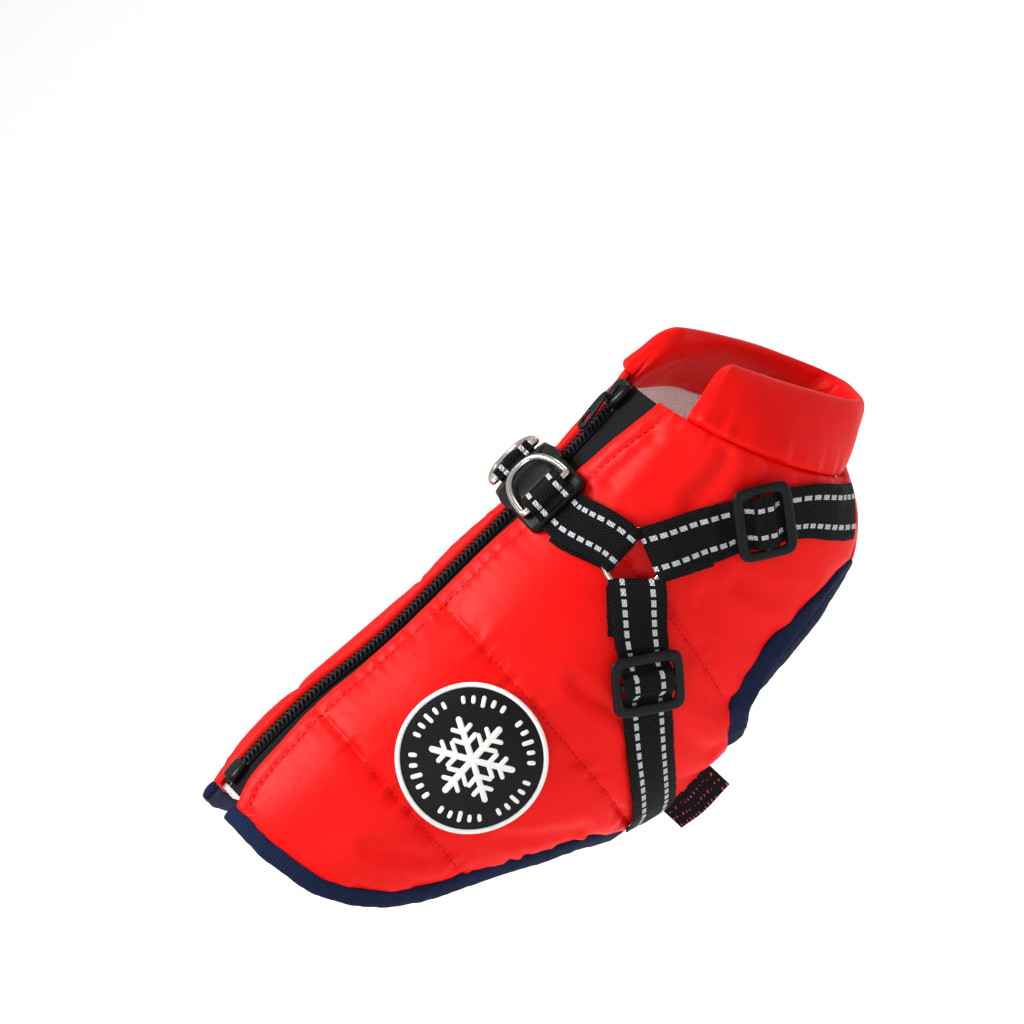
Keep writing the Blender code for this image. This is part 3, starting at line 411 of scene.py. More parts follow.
def polyWebbing():
    # woven polypropylene webbing: chunky black weave with two rows of silver thread floats
    look = {"rib": 1.7, "warp": 1.3, "row": 5.2, "pitch": 4.0, "dash": 2.8, "dashWidth": 1.8,
            "ply": 1.2}
    made, tree, shader = newFinish("polypropyleneWebbing")
    uv = clothPlace(tree)
    weave = addNode(tree, "Math", {0: stripes(tree, uv["X"], look["rib"]),
                                   1: stripes(tree, uv["Y"], look["warp"])},
                    operation="MULTIPLY")[0]
    # a dash: the first part of every pitch along the webbing, near either row across it
    pitches = addNode(tree, "Math", {0: uv["X"], 1: 1 / look["pitch"], 2: 100.0},
                      operation="MULTIPLY_ADD")[0]
    part = addNode(tree, "Math", {0: pitches}, operation="FRACT")[0]
    onDash = addNode(tree, "Math", {0: part, 1: look["dash"] / look["pitch"]},
                     operation="LESS_THAN")[0]
    fromMiddle = addNode(tree, "Math", {0: uv["Y"]}, operation="ABSOLUTE")[0]
    onRow = addNode(tree, "Math", {0: fromMiddle, 1: look["row"], 2: look["dashWidth"] / 2},
                    operation="COMPARE")[0]
    dash = addNode(tree, "Math", {0: onDash, 1: onRow}, operation="MULTIPLY")[0]
    ply = addNode(tree, "Math", {0: stripes(tree, fromMiddle, look["ply"])},
                  operation="ABSOLUTE")[0]
    silver = addNode(tree, "Mix", {0: ply, 6: toLinear("868c94"), 7: toLinear("dfe4ea")},
                     data_type="RGBA")[2]
    black = addNode(tree, "Mix", {0: weave, 6: toLinear("060607"), 7: toLinear("161619")},
                    data_type="RGBA")[2]
    height = addNode(tree, "Math", {0: dash, 1: 1.6, 2: weave}, operation="MULTIPLY_ADD")[0]
    dress(tree, shader, dash, (black, silver), (height, 0.9, 0.00045),
          {"Roughness": 0.66, "Specular IOR Level": 0.13})
    return made


def zipTapeWeave():
    # polyester herringbone tape, flatter and duller than the webbing
    made, tree, shader = newFinish("polyesterZipTape")
    uv = clothPlace(tree)
    across = addNode(tree, "Math", {0: uv["Y"], 1: 2.0}, operation="PINGPONG")[0]
    slant = addNode(tree, "Math", {0: uv["X"], 1: across}, operation="ADD")[0]
    twill = stripes(tree, slant, 0.9)
    dress(tree, shader, twill, ("0c0c0e", "17171a"), (twill, 0.4, 0.0002),
          {"Roughness": 0.75, "Specular IOR Level": 0.14})
    return made


def mouldedAcetal(name, colour, roughness, grain):
    # injection-moulded acetal: even black with a faint eroded grain and rubbed patches
    made, tree, shader = newFinish(name)
    rub = clouds(tree, 120.0, 4.0)
    gloss = addNode(tree, "MapRange", {"Value": rub, "To Min": roughness - 0.06,
                                       "To Max": roughness + 0.08})[0]
    dress(tree, shader, rub, (colour, "161618"), (clouds(tree, 1400.0, 2.0), grain, 0.00015),
          {"Roughness": gloss, "IOR": 1.48, "Specular IOR Level": 0.18})
    return made


def nickelPlate():
    # bright nickel over bent steel wire: a warm mirror with faint drawing marks
    made, tree, shader = newFinish("nickelPlatedSteel")
    haze = clouds(tree, 260.0, 3.0)
    gloss = addNode(tree, "MapRange", {"Value": haze, "To Min": 0.1, "To Max": 0.22})[0]
    bump = addNode(tree, "Bump", {"Height": haze, "Strength": 0.08, "Distance": 0.0002})[0]
    setInputs(tree, shader, {"Base Color": toLinear("d3cdc4"), "Metallic": 1.0,
                             "Roughness": gloss, "Normal": bump})
    return made


def softPvc(name, colour, second):
    # moulded soft PVC: satin and faintly cloudy
    made, tree, shader = newFinish(name)
    cloud = clouds(tree, 180.0, 4.0)
    dress(tree, shader, cloud, (colour, second), (cloud, 0.12, 0.0002),
          {"Roughness": 0.5, "IOR": 1.52, "Specular IOR Level": 0.14})
    return made


def spunThread():
    # spun polyester sewing thread in dark red, its two plies twisted every 0.9 mm
    made, tree, shader = newFinish("spunPolyesterThread")
    spot = addNode(tree, "TexCoord", {})["Object"]
    ply = addNode(tree, "TexWave", {"Vector": spot, "Scale": 0.314 / 0.0009},
                  bands_direction="DIAGONAL")["Fac"]
    tone = addNode(tree, "Mix", {0: ply, 6: toLinear("7c0407"), 7: toLinear("9c0a0c")},
                   data_type="RGBA")[2]
    setInputs(tree, shader, {"Base Color": tone, "Roughness": 0.7, "Specular IOR Level": 0.08})
    return made


def damaskLabel():
    # woven damask: black satin ground with rows of small pink ticks, some of them left out
    look = {"row": 3.4, "tall": 0.36, "slant": 0.45, "tick": 2.1, "wide": 0.3, "satin": 0.5}
    made, tree, shader = newFinish("wovenDamask")
    flat = addNode(tree, "UVMap", {}, uv_map="cloth")["UV"]
    uv = addNode(tree, "SeparateXYZ", {0: flat})
    slanted = addNode(tree, "Math", {0: uv["Y"], 1: look["slant"], 2: uv["X"]},
                      operation="MULTIPLY_ADD")[0]
    cells = addNode(tree, "TexNoise", {"Vector": flat, "Scale": 0.55, "Detail": 1.0})["Fac"]
    mask = addNode(tree, "Math", {0: cells, 1: 0.5}, operation="GREATER_THAN")[0]
    # a tick is the first part of every row down the label and of every column along it
    for place, pitch, most in ((uv["Y"], look["row"], look["tall"]),
                               (slanted, look["tick"], look["wide"])):
        count = addNode(tree, "Math", {0: place, 1: 1 / pitch}, operation="MULTIPLY")[0]
        part = addNode(tree, "Math", {0: count}, operation="FRACT")[0]
        inside = addNode(tree, "Math", {0: part, 1: most}, operation="LESS_THAN")[0]
        mask = addNode(tree, "Math", {0: mask, 1: inside}, operation="MULTIPLY")[0]
    dress(tree, shader, mask, ("101013", "c04a62"),
          (stripes(tree, uv["Y"], look["satin"]), 0.3, 0.00015),
          {"Roughness": 0.65, "Specular IOR Level": 0.12})
    return made


finish = {"shellRed": nylonTaffeta(), "lining": brushedFleece(), "rib": cottonRib(),
          "webbing": polyWebbing(), "tape": zipTapeWeave(),
          "plastic": mouldedAcetal("mouldedAcetal", "0b0b0c", 0.42, 0.15),
          "zipPlastic": mouldedAcetal("glossyAcetal", "0c0c0e", 0.26, 0.05),
          "teeth": mouldedAcetal("zipToothAcetal", "242427", 0.38, 0.05),
          "nickel": nickelPlate(), "patchBlack": softPvc("softPvcBlack", "0c0c0e", "131316"),
          "patchWhite": softPvc("softPvcWhite", "f1f0ee", "e4e2df"),
          "redThread": spunThread(), "label": damaskLabel()}
print("materials ready:", len(finish))


def place(piece, material, slot, nodes=(), body="jacket"):
    # gives a finished piece its material and its body, and hides the nodes it stands for
    piece.data.materials.append(finish[material])
    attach(piece, body)
    if nodes:
        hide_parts(*nodes)
    return piece


panelLook = {"cellStation": 1.1, "rows": 122, "wallAtSeam": 2.0, "puff": 2.5, "placketRoll": 0.7,
             "stitchAt": 7.0, "stitchGroove": 0.6, "zipPucker": 0.6, "quiltPucker": 2.0,
             "quiltGroove": 0.7, "edgePucker": 2.0, "neckPucker": 1.4, "slack": 0.6,
             "crease": 2.2, "deepest": -1.3, "highest": 0.42, "edgeRadius": 1.4}
# creases that the photo shows: from and to (station, angle), depth, half width
panelFolds = ((118, 72, 128, 98, 0.5, 3.0), (150, 92, 160, 118, 0.7, 3.0),
              (172, 84, 176, 112, 0.8, 3.2), (180, 88, 186, 116, 0.7, 2.6),
              (136, 100, 150, 132, 0.8, 3.5), (122, 128, 150, 146, 0.7, 3.0),
              (60, 100, 84, 118, 0.5, 3.5), (18, 74, 34, 92, 0.45, 3.0),
              (188, 60, 203, 66, 0.5, 3.0), (176, 30, 196, 34, 0.45, 3.0))


def loft(station, angle):
    # wall thickness: seamed edge + puff * channel arch * fading at the zip and the edge
    station, angle = np.broadcast_arrays(np.asarray(station, float), np.abs(angle))
    lines = np.array((tail,) + quiltStations + (neck + 0.7,))
    i = np.clip(np.searchsorted(lines, station) - 1, 0, len(lines) - 2)
    across = np.clip((station - lines[i]) / (lines[i + 1] - lines[i]), 0, 1)
    channel = (4 * across * (1 - across)) ** 0.6
    halfWidth = ringValue("halfWidth", station)
    fromZip = np.radians(angle) * halfWidth - placketReach(station, "right")
    edge = np.clip(lowerAngle(np.clip(station, tail, neck)), 20, 180)
    fromEdge = np.abs(np.radians(edge - angle)) * halfWidth
    nearEdges = (1 - np.exp(-np.clip(fromZip, 0, None) / 4)) * (1 - np.exp(-fromEdge / 5))
    reach = np.radians(angle) * halfWidth
    pressed = np.exp(-((station - withers) / 24) ** 2 - (reach / 30) ** 4)
    return (panelLook["wallAtSeam"]
            + panelLook["puff"] * channel * nearEdges * (1 - 0.75 * pressed))


def fineRelief(station, angle, side):
    # what the sewing does to the loft, as a sum: a bell for the rolled placket, a groove and
    # noise that fades away from every seam, slow noise for the slack, a trough along each
    # crease; then kept between the deepest and the highest
    halfWidth = ringValue("halfWidth", station)
    reach = np.radians(np.abs(angle)) * halfWidth
    fromZip = reach - placketReach(station, side)
    pressed = np.exp(-((station - withers) / 20) ** 2 - (reach / 26) ** 4)
    seed = 3.0 if side == "right" else 11.0
    relief = panelLook["placketRoll"] * np.exp(-((fromZip - 3.0) / 2.2) ** 2) * (1 - pressed)
    zipPucker = ripples(station / 2.6, reach / 14, seed)
    fromStitch = fromZip - panelLook["stitchAt"]
    relief -= panelLook["stitchGroove"] * np.exp(-(fromStitch / 0.8) ** 2) * (1 + 0.5 * zipPucker)
    relief += panelLook["zipPucker"] * zipPucker * np.exp(-np.abs(fromStitch) / 3.5)
    sewn = np.clip((fromZip - 6.5) / (2.5 if side == "right" else 16), 0, 1)
    for line in quiltStations:
        away = np.abs(station - line)
        pucker = ripples(reach / 2.7, (station - line) / 16, seed + line)
        wide = ripples(reach / 7.0, (station - line) / 30, seed + line + 5)
        relief += panelLook["quiltPucker"] * sewn * (0.7 * (pucker - 0.3) * np.exp(-away / 3.2)
                                                     + 0.5 * wide * np.exp(-away / 9))
        relief -= panelLook["quiltGroove"] * sewn * np.exp(-(away / 1.1) ** 2)
        relief += 0.9 * (1 - sewn) * np.exp(-(away / 3) ** 2) * np.clip(fromZip / 5, 0, 1)
    edge = lowerAngle(np.clip(station, tail, neck))
    fromEdge = np.abs(np.radians(edge - np.abs(angle))) * halfWidth
    alongStation = ripples(station / 2.8, reach / 15, seed + 40)
    alongReach = ripples(reach / 2.8, station / 15, seed + 50)
    turn = np.clip((station - tail) / 18, 0, 1)
    edgePucker = alongStation * turn + alongReach * (1 - turn)
    relief += panelLook["edgePucker"] * (edgePucker - 0.25) * np.exp(-fromEdge / 5.5)
    fromNeck = neck - station
    neckNoise = ripples(reach / 3.0, station / 20, seed + 60) - 0.2
    relief += panelLook["neckPucker"] * neckNoise * np.exp(-fromNeck / 4)
    relief += panelLook["slack"] * ripples(station / 19, reach / 23, seed + 70)
    for startStation, startAngle, endStation, endAngle, depth, width in panelFolds:
        degree = 0.87   # mm along the body
        dx, dy = endStation - startStation, (endAngle - startAngle) * degree
        x, y = station - startStation, (np.abs(angle) - startAngle) * degree
        t = np.clip((x * dx + y * dy) / (dx * dx + dy * dy), 0, 1)
        away = np.hypot(x - t * dx, y - t * dy)
        relief -= panelLook["crease"] * depth * np.exp(-(away / width) ** 2)
        relief += depth * 0.6 * np.exp(-((away - 2.2 * width) / width) ** 2)
    highest = panelLook["highest"] + 0.45 * np.exp(-((fromZip - 3.0) / 2.6) ** 2)
    return np.clip(relief, panelLook["deepest"], highest)


def spanStations(bounds, cell):
    # stations that meet each bound, about one cell apart
    parts = [np.linspace(a, b, max(int(round((b - a) / cell)), 2) + 1)[:-1]
             for a, b in zip(bounds, bounds[1:])]
    return np.append(np.concatenate(parts), bounds[-1])


def edgedShares(count, span):
    # shares from 0 to 1 with extra rows just inside both edges, span mm wide in all
    near = np.array((0, 0.15, 0.45, 0.9, 1.5)) / span
    return np.concatenate([near, np.linspace(2.3 / span, 1 - 2.3 / span, count), 1 - near[::-1]])


def sidePanel(side):
    # wall between the body and body + (loft + relief) * rounded edge
    sign = 1 if side == "right" else -1
    stations = spanStations((tail, 8, 38.8, hemCorner, armBack, 157, 161, 191, armFront, neck),
                            panelLook["cellStation"])
    first = spineAngle(stations, placketReach(stations, side))
    last = lowerAngle(stations)
    share = edgedShares(panelLook["rows"], 120.0)
    angle = first[:, None] + (last - first)[:, None] * share
    station = np.repeat(stations[:, None], len(share), axis=1)
    halfWidth = ringValue("halfWidth", station)
    fromEdges = np.minimum(np.radians(angle - first[:, None]),
                           np.radians(last[:, None] - angle)) * halfWidth
    lift = loft(station, angle) + fineRelief(station, angle, side)
    rounding = edgeRound(fromEdges, panelLook["edgeRadius"], 0.04)
    inner = shell(station, sign * angle, np.full_like(angle, 0.0))
    outer = shell(station, sign * angle, lift * rounding)
    uv = np.stack([station, np.radians(angle) * halfWidth], -1)
    panel = wallPiece(side + "QuiltedSide", inner, outer, uv)
    place(panel, "shellRed", "red_nylon", [side + "_side_panel"])
    return panel


liningLook = {"inside": -2.48, "outside": -1.5, "wave": 0.22, "fromPlacket": 8.5, "columns": 52}


def sideLining(side):
    # a thin wall under the panel, its inside waved by noise
    sign = 1 if side == "right" else -1
    stations = spanStations((tail + 1, 8, hemCorner, armBack, 157, 161, 193, neck - 1), 2.6)
    inset = spineAngle(stations, 1.0)
    last = lowerAngle(stations) - inset
    first = spineAngle(stations, placketReach(stations, side) + liningLook["fromPlacket"])
    share = np.linspace(0, 1, liningLook["columns"])
    angle = first[:, None] + (last - first)[:, None] * share
    station = np.repeat(stations[:, None], len(share), axis=1)
    waves = liningLook["wave"] * ripples(station / 7, angle / 8, 5.0)
    inner = shell(station, sign * angle, liningLook["inside"] + waves)
    outer = shell(station, sign * angle, np.full_like(angle, liningLook["outside"]))
    lining = wallPiece(side + "FleeceLining", inner, outer)
    place(lining, "lining", "white_lining", [side + "_lining"])


for side in ("right", "left"):
    sidePanel(side)
    sideLining(side)
print("side panels and linings ready")


chestLook = {"crown": 0.4, "pucker": 0.45, "slack": 0.35}


def chestEdge(stations):
    # the chest panel's edge follows its own curve at the armhole and the side panel's elsewhere
    inside = (stations > armBack) & (stations < armFront)
    return np.where(inside, smoothCurve(stations, chestArmhole[:, 0], chestArmhole[:, 1]),
                    lowerAngle(stations))


def chestWall(name, stations, count, low, high, inset, relief):
    # wall from low to high + relief * (crown * (1 - t^2) + seam puckers + slack), t across
    edge = chestEdge(stations) + spineAngle(stations, inset)
    t = 2 * edgedShares(count, 50.0) - 1
    angle = 180 + (180 - edge)[:, None] * t
    station = np.repeat(stations[:, None], len(t), axis=1)
    halfWidth = ringValue("halfWidth", station)
    fromEdge = (1 - np.abs(t)) * np.radians(180 - edge)[:, None] * halfWidth
    rounding = edgeRound(fromEdge, panelLook["edgeRadius"], 0.04)
    reach = np.radians(angle - 180) * halfWidth
    crown = chestLook["crown"] * (1 - t**2) * relief
    seamNoise = ripples(station / 2.8, reach / 15, 80) * np.exp(-fromEdge / 5)
    seam = chestLook["pucker"] * relief * seamNoise
    slack = chestLook["slack"] * relief * ripples(station / 17, reach / 13, 90)
    inner = shell(station, angle, np.full_like(angle, low))
    outer = shell(station, angle, low + (high - low + crown + seam + slack) * rounding)
    return wallPiece(name, inner, outer, np.stack([station, reach], -1))


chest = chestWall("chestAndBelly",
                  spanStations((hemCorner, armBack, 158, 191, armFront, neck), 1.2),
                  44, 0.0, 2.0, 0.5, 1.0)
place(chest, "shellRed", "red_nylon", ["chest_panel"])
chestInside = chestWall("chestFleece", spanStations((hemCorner + 1, armBack, 158, 191, armFront,
                                                     neck - 1), 3.0), 22, -2.0, -0.8, 1.5, 0.0)
place(chestInside, "lining", "white_lining", ["chest_lining"])
print("chest panel ready")


bindingLook = {"gap": -0.7, "halfWidth": 3.6, "halfThickness": 1.9, "pucker": 0.35,
               "boxiness": 0.72, "sides": 24, "hemPoints": 640, "armPoints": 260}


def binding(name, line, widths, turn, flare, closed, node):
    # an oval rolled along a line of cloth points, turned out from the cloth by the flare
    # angles and waved by its puckers
    count = len(widths)
    line = spaced(line * [1, 0.85], count, closed) / [1, 0.85]
    station, angle = line[:, 0], line[:, 1]
    edge = body(station, angle)
    along = tangents(edge, closed)
    up = outward(station, angle)
    side = unit(np.cross(up, along) * turn)
    lean = np.radians(flare)[:, None]
    edge = edge + up
    side, up = (side * np.cos(lean) + up * np.sin(lean),
                up * np.cos(lean) - side * np.sin(lean))
    centre = edge + side * (widths + bindingLook["gap"])[:, None]
    if closed:
        centre = smoothed(centre, 30)
    run = runOf(centre)
    t = np.linspace(0, 2 * math.pi, bindingLook["sides"], endpoint=False)
    waves = bindingLook["pucker"] * (ripples(run[:, None] / 3.4, t[None, :] * 1.2, 7)
                                     + 0.5 * ripples(run[:, None] / 1.7, t[None, :] * 1.5, 9))
    if closed:
        fade = np.clip(np.minimum(run, run[-1] - run) / 6, 0, 1)[:, None]
        waves = waves * fade
    size = np.stack([widths[:, None] + waves * 0.5,
                     bindingLook["halfThickness"] + waves * 0.6], -1)
    profile = softBox(t, bindingLook["boxiness"]) * size
    uv = np.stack(np.broadcast_arrays(run[:, None], t[None, :] * 2.0), -1)
    made = tubePiece(name, carried(centre, side, up, profile), closed, uv)
    return place(made, "rib", "navy_rib_knit", [node])


def hemLine():
    # from the right placket down the hem, under the belly and up to the left placket
    share = np.linspace(0, 1, 30)
    first = [spineAngle(np.array(tail), placketReach(np.array(tail), side))
             for side in ("right", "left")]
    hem = spanStations((tail, 8, hemCorner), 1.5)[1:]
    rightHem = np.stack([hem, lowerAngle(hem)], -1)
    belly = np.stack([np.full(21, hemCorner), np.linspace(152, 208, 23)[1:-1]], -1)
    top = [np.stack([np.full(30, tail), f + share * (44 - f)], -1) for f in first]
    return np.concatenate([top[0], rightHem, belly, rightHem[::-1] * [1, -1] + [0, 360],
                           top[1][::-1] * [1, -1] + [0, 360]])


def armLine(sign):
    # round the armhole: forward along the side panel, back along the chest panel
    upper = np.array(lowerEdge[2], float)
    top = np.concatenate([np.linspace(155, 160, 16), np.linspace(160, 191, 60)[1:],
                          np.linspace(191, 195.4, 16)[1:]])
    low = top[::-1][1:-1]
    line = np.concatenate([
        np.stack([top, smoothCurve(top, upper[:, 0], upper[:, 1])], -1),
        np.stack([low, smoothCurve(low, chestArmhole[:, 0], chestArmhole[:, 1])], -1)])
    return line * [1, sign]


hemShare = np.linspace(-1, 1, bindingLook["hemPoints"])   # 0 under the belly
hemBinding = binding("hemRib", hemLine(),
                     bindingLook["halfWidth"] * (1 - 0.45 * np.exp(-(hemShare / 0.145) ** 4)), -1,
                     -38 * np.exp(-(hemShare / 0.13) ** 4), False, "hem_binding")
for side, sign in (("right", 1), ("left", -1)):
    share = np.arange(bindingLook["armPoints"]) / bindingLook["armPoints"]
    widths = 2.0 + 2.4 * np.abs(np.sin(2 * math.pi * share)) ** 0.8
    flare = 34 * np.sin(2 * math.pi * share) - 4
    armRib = binding(side + "ArmRib", armLine(sign), widths, -sign, flare, True,
                     side + "_armhole_binding")
print("bindings ready")


collarLook = {"near": 43.0, "far": 341.0, "around": 330, "profile": 64, "pucker": 0.9, "soft": 1.1,
              "endRound": 7.0,
              "crease": 1.6, "endPucker": 0.5, "flatEnds": 0.72, "thinEnds": 0.4, "foldDown": 5.5,
              "heights": (-0.05, 0.08, 0.42, 0.7, 0.9, 1.0, 1.0, 0.9, 0.7, 0.42, 0.2, 0.08, 0, 0),
              "bulges": (2.6, 4.8, 5.4, 5.2, 3.8, 1.3, -1.3,
                         -3.4, -4.6, -4.6, -4.6, -4.4, -3.9, -3.4),
              "tucks": (0, 0, 0, 0, 0, 0, 0, 0, 0, 0, 1.5, 5.5, 5.5, 0.5)}


def collarPiece():
    # point = base + rise * height + out * (bulge * fatness + wrinkle), where base is the neck
    # seam and rise leads to the top ring; tucks fold the inside down over the seam
    rows = len(collarLook["heights"])
    at = np.linspace(0, rows, collarLook["profile"], endpoint=False)
    wrap = np.arange(-1, rows + 2)
    high, bulge, tuck = (smoothCurve(at, wrap, np.array(collarLook[key], float)[wrap % rows])
                         for key in ("heights", "bulges", "tucks"))
    count = collarLook["around"]
    around = np.linspace(collarLook["near"], collarLook["far"], count)
    base = shell(np.full(count, 208.0), around, np.full(count, 1.0))
    turn = np.radians(around)
    sine = np.sin(turn)
    top = np.stack([248 - 16 * np.cos(turn), np.where(sine > 0, -20, 18) * np.sqrt(np.abs(sine)),
                    -29.7 + 33 * np.cos(turn)], axis=-1)
    rise = top - base
    run = runOf(base)
    fromEnd = np.minimum(run, run[-1] - run)
    rounding = edgeRound(fromEnd, collarLook["endRound"])
    rise = rise * (collarLook["flatEnds"] + (1 - collarLook["flatEnds"]) * rounding)[:, None]
    out = unit(np.cross(rise, tangents(base)))
    out = out * np.sign(np.sum(out * (base - base.mean(axis=0)), axis=-1, keepdims=True))
    fatness = collarLook["thinEnds"] + (1 - collarLook["thinEnds"]) * rounding
    high = high[None, :]
    outside = np.where(bulge > 0, 1.0, 0.0)[None, :]
    arc = run[:, None]
    lowPucker = (collarLook["pucker"] * ripples(arc / 3.2, high * 2.2, 21)
                 * np.exp(-np.abs(high) * 5))
    soft = collarLook["soft"] * ripples(arc / 17, high * 1.6 + outside * 7, 23)
    creases = ((1 - outside) * collarLook["crease"]
               * ripples((arc + 26 * high) / 6.5, high * 1.4, 27))
    endPucker = (collarLook["endPucker"] * ripples(arc / 2.0, high * 6, 29)
                 * np.exp(-fromEnd[:, None] / 7))
    middle = np.sin(np.pi * np.clip(high, 0.02, 0.98)) ** 0.5
    wrinkle = (soft + creases + endPucker) * middle + outside * lowPucker
    throat = np.exp(-((around - 180) / 55) ** 2)[:, None]
    full = bulge[None, :] * fatness[:, None]
    full = np.where(full > 0, full * (1 - (0.42 + 0.95 * np.exp(-high / 0.25)) * throat), full)
    spread = full + np.sign(bulge)[None, :] * wrinkle * 0.8
    back = unit(slopesOf(np.full(count, 208.0), around)[0])
    inward = outward(np.full(count, 208.0), around)
    blend = np.clip(tuck / collarLook["foldDown"], 0, 1)[None, :, None]
    up = out[:, None] * (1 - blend) + inward[:, None] * blend
    sections = (base[:, None] + rise[:, None] * high[..., None] + unit(up) * spread[..., None]
                - back[:, None] * tuck[None, :, None])
    return tubePiece("puffedCollar", sections)


collar = collarPiece()
place(collar, "shellRed", "red_nylon", ["collar"])
print("collar ready")


zipLook = {"pitch": 2.0, "halfWidth": 2.5, "toothRadius": 0.56, "from": 6.5, "to": 193.5,
           "underPlacket": 6.3, "cord": 2.7}


def spineStrip(name, station, reaches, lifts, material, slot, nodes):
    # a strip between distances from the spine and two lifts
    angle = np.stack([spineAngle(station, r) for r in reaches], -1)
    grids = [shell(np.repeat(station[:, None], angle.shape[1], 1), angle, np.full_like(angle, h))
             for h in lifts]
    uv = np.stack([np.repeat(station[:, None], angle.shape[1], 1), np.stack(reaches, -1)], -1)
    return place(wallPiece(name, grids[0], grids[1], uv), material, slot, nodes)


for side, sign in (("right", 1), ("left", -1)):
    stations = np.linspace(tail + 3, neck - 1, 180)
    gap = placketReach(stations, side)
    reaches = [sign * (0.7 + (gap + zipLook["underPlacket"]) * share)
               for share in np.linspace(0, 1, 9)]
    spineStrip(side + "ZipTape", stations, reaches, (-1.1, -0.45), "tape", "black_webbing",
               [side + "_zip_tape"])


def zipTeeth():
    # each tooth is a bent rod from one side over to just past the middle, slanted, and the
    # two sides take turns along the chain
    stations = np.arange(zipLook["from"], zipLook["to"], zipLook["pitch"] / 2)
    sign = np.where(np.arange(len(stations)) % 2 == 0, 1.0, -1.0)[:, None]
    acrossLine = np.array((1.0, 0.72, 0.36, 0.0, -0.3))[None, :] * zipLook["halfWidth"]
    rise = np.array((0.75, 1.55, 1.75, 1.7, 1.25))[None, :]
    slant = np.array((-0.75, -0.45, 0.0, 0.42, 0.65))[None, :]
    station = stations[:, None] + slant
    angle = spineAngle(station, acrossLine * sign)
    centre = shell(station, angle, np.broadcast_to(rise, station.shape))
    along = unit(np.gradient(centre, axis=1))
    up = outward(station, angle)
    side = unit(np.cross(along, up))
    t = np.linspace(0, 2 * math.pi, 6, endpoint=False) + 0.4
    fat = np.array((0.75, 1.0, 1.0, 1.05, 0.55))[None, :, None, None] * zipLook["toothRadius"]
    sections = (centre[:, :, None] + side[:, :, None] * np.cos(t)[:, None] * fat * 0.85
                + up[:, :, None] * np.sin(t)[:, None] * fat)
    return rodsPiece("zipTeeth", sections)


place(zipTeeth(), "teeth", "black_plastic", ["zip_chain"])
cordStations = np.linspace(zipLook["from"], zipLook["to"], 180)
cordReaches = [np.full(180, reach) for reach in np.linspace(-zipLook["cord"], zipLook["cord"], 7)]
spineStrip("zipCord", cordStations, cordReaches, (-0.3, 0.55), "tape", "black_webbing", [])


def lozenge(name, path, halfWidths, heights, up, side, sides=20, power=0.6):
    # a rod whose rounded-box section changes along a straight path
    t = np.linspace(0, 2 * math.pi, sides, endpoint=False) + math.pi / sides
    size = np.stack([halfWidths, heights], -1)[:, None, :]
    spread = lambda v: np.broadcast_to(v, path.shape)
    return tubePiece(name, carried(path, spread(side), spread(up), softBox(t, power) * size))


def spineRod(name, stations, halfWidths, low, heights):
    # a lozenge that follows the spine above the tape
    stations = np.asarray(stations, float)
    centre = shell(stations, np.zeros_like(stations), low + np.asarray(heights))
    up = outward(stations, np.zeros_like(stations))
    side = np.broadcast_to((0.0, -1.0, 0.0), up.shape)
    return lozenge(name, centre, np.asarray(halfWidths, float), np.asarray(heights, float),
                   up, side)


zipBox = spineRod("zipBox", (-3.0, -2.8, -2.2, 0.5, 4.6, 5.6, 6.0),
                  (1.2, 3.2, 4.0, 4.2, 3.9, 3.2, 1.6), 0.05,
                  (0.7, 1.35, 1.6, 1.6, 1.55, 1.35, 0.7))
place(zipBox, "zipPlastic", "black_plastic", ["zip_box"])
sliderBody = spineRod("zipSlider", (194.2, 194.5, 195.2, 198.5, 202.5, 204.8, 205.7, 206.0),
                      (1.4, 2.7, 3.3, 4.7, 5.2, 4.9, 4.0, 2.0), 0.25,
                      (0.8, 1.5, 1.75, 1.85, 1.85, 1.7, 1.45, 0.8))
place(sliderBody, "zipPlastic", "black_plastic", ["zip_slider"])
crown = spineRod("zipSliderBridge", (196.0, 196.3, 197.0, 199.0, 201.8, 203.0, 203.3),
                 (0.5, 1.0, 1.25, 1.3, 1.25, 0.9, 0.4), 3.7, (0.2, 0.42, 0.5, 0.5, 0.5, 0.42, 0.2))
place(crown, "zipPlastic", "black_plastic")


def rimPlate(name, outerLine, innerLine, heights, origin, longAxis, crossAxis, up, body, material,
             slot, nodes, rounded=0.3):
    # a flat ring between two outlines, its edges rounded: a closed surface round the hole
    s = np.array((0, 0.04, 0.14, 0.3, 0.7, 0.86, 0.96, 1.0))
    full = edgeRound(np.minimum(s, 1 - s), rounded)
    share = np.concatenate([s, s[-2:0:-1]])
    level = np.concatenate([full, -full[-2:0:-1]])
    low, high = heights
    share = share[None, :, None]
    flat = outerLine[:, None] * (1 - share) + innerLine[:, None] * share
    height = (low + high) / 2 + (high - low) / 2 * level
    points = (origin + flat[..., :1] * longAxis + flat[..., 1:] * crossAxis
              + height[None, :, None] * up)
    return place(tubePiece(name, points, closed=True), material, slot, nodes, body)


def roundedBox(halfLong, halfCross, power, count=96, middle=0.0):
    # a soft box scaled to two half sizes, its centre moved along it
    ring = softBox(np.linspace(0, 2 * math.pi, count, endpoint=False), power)
    return ring * [halfLong, halfCross] + [middle, 0]


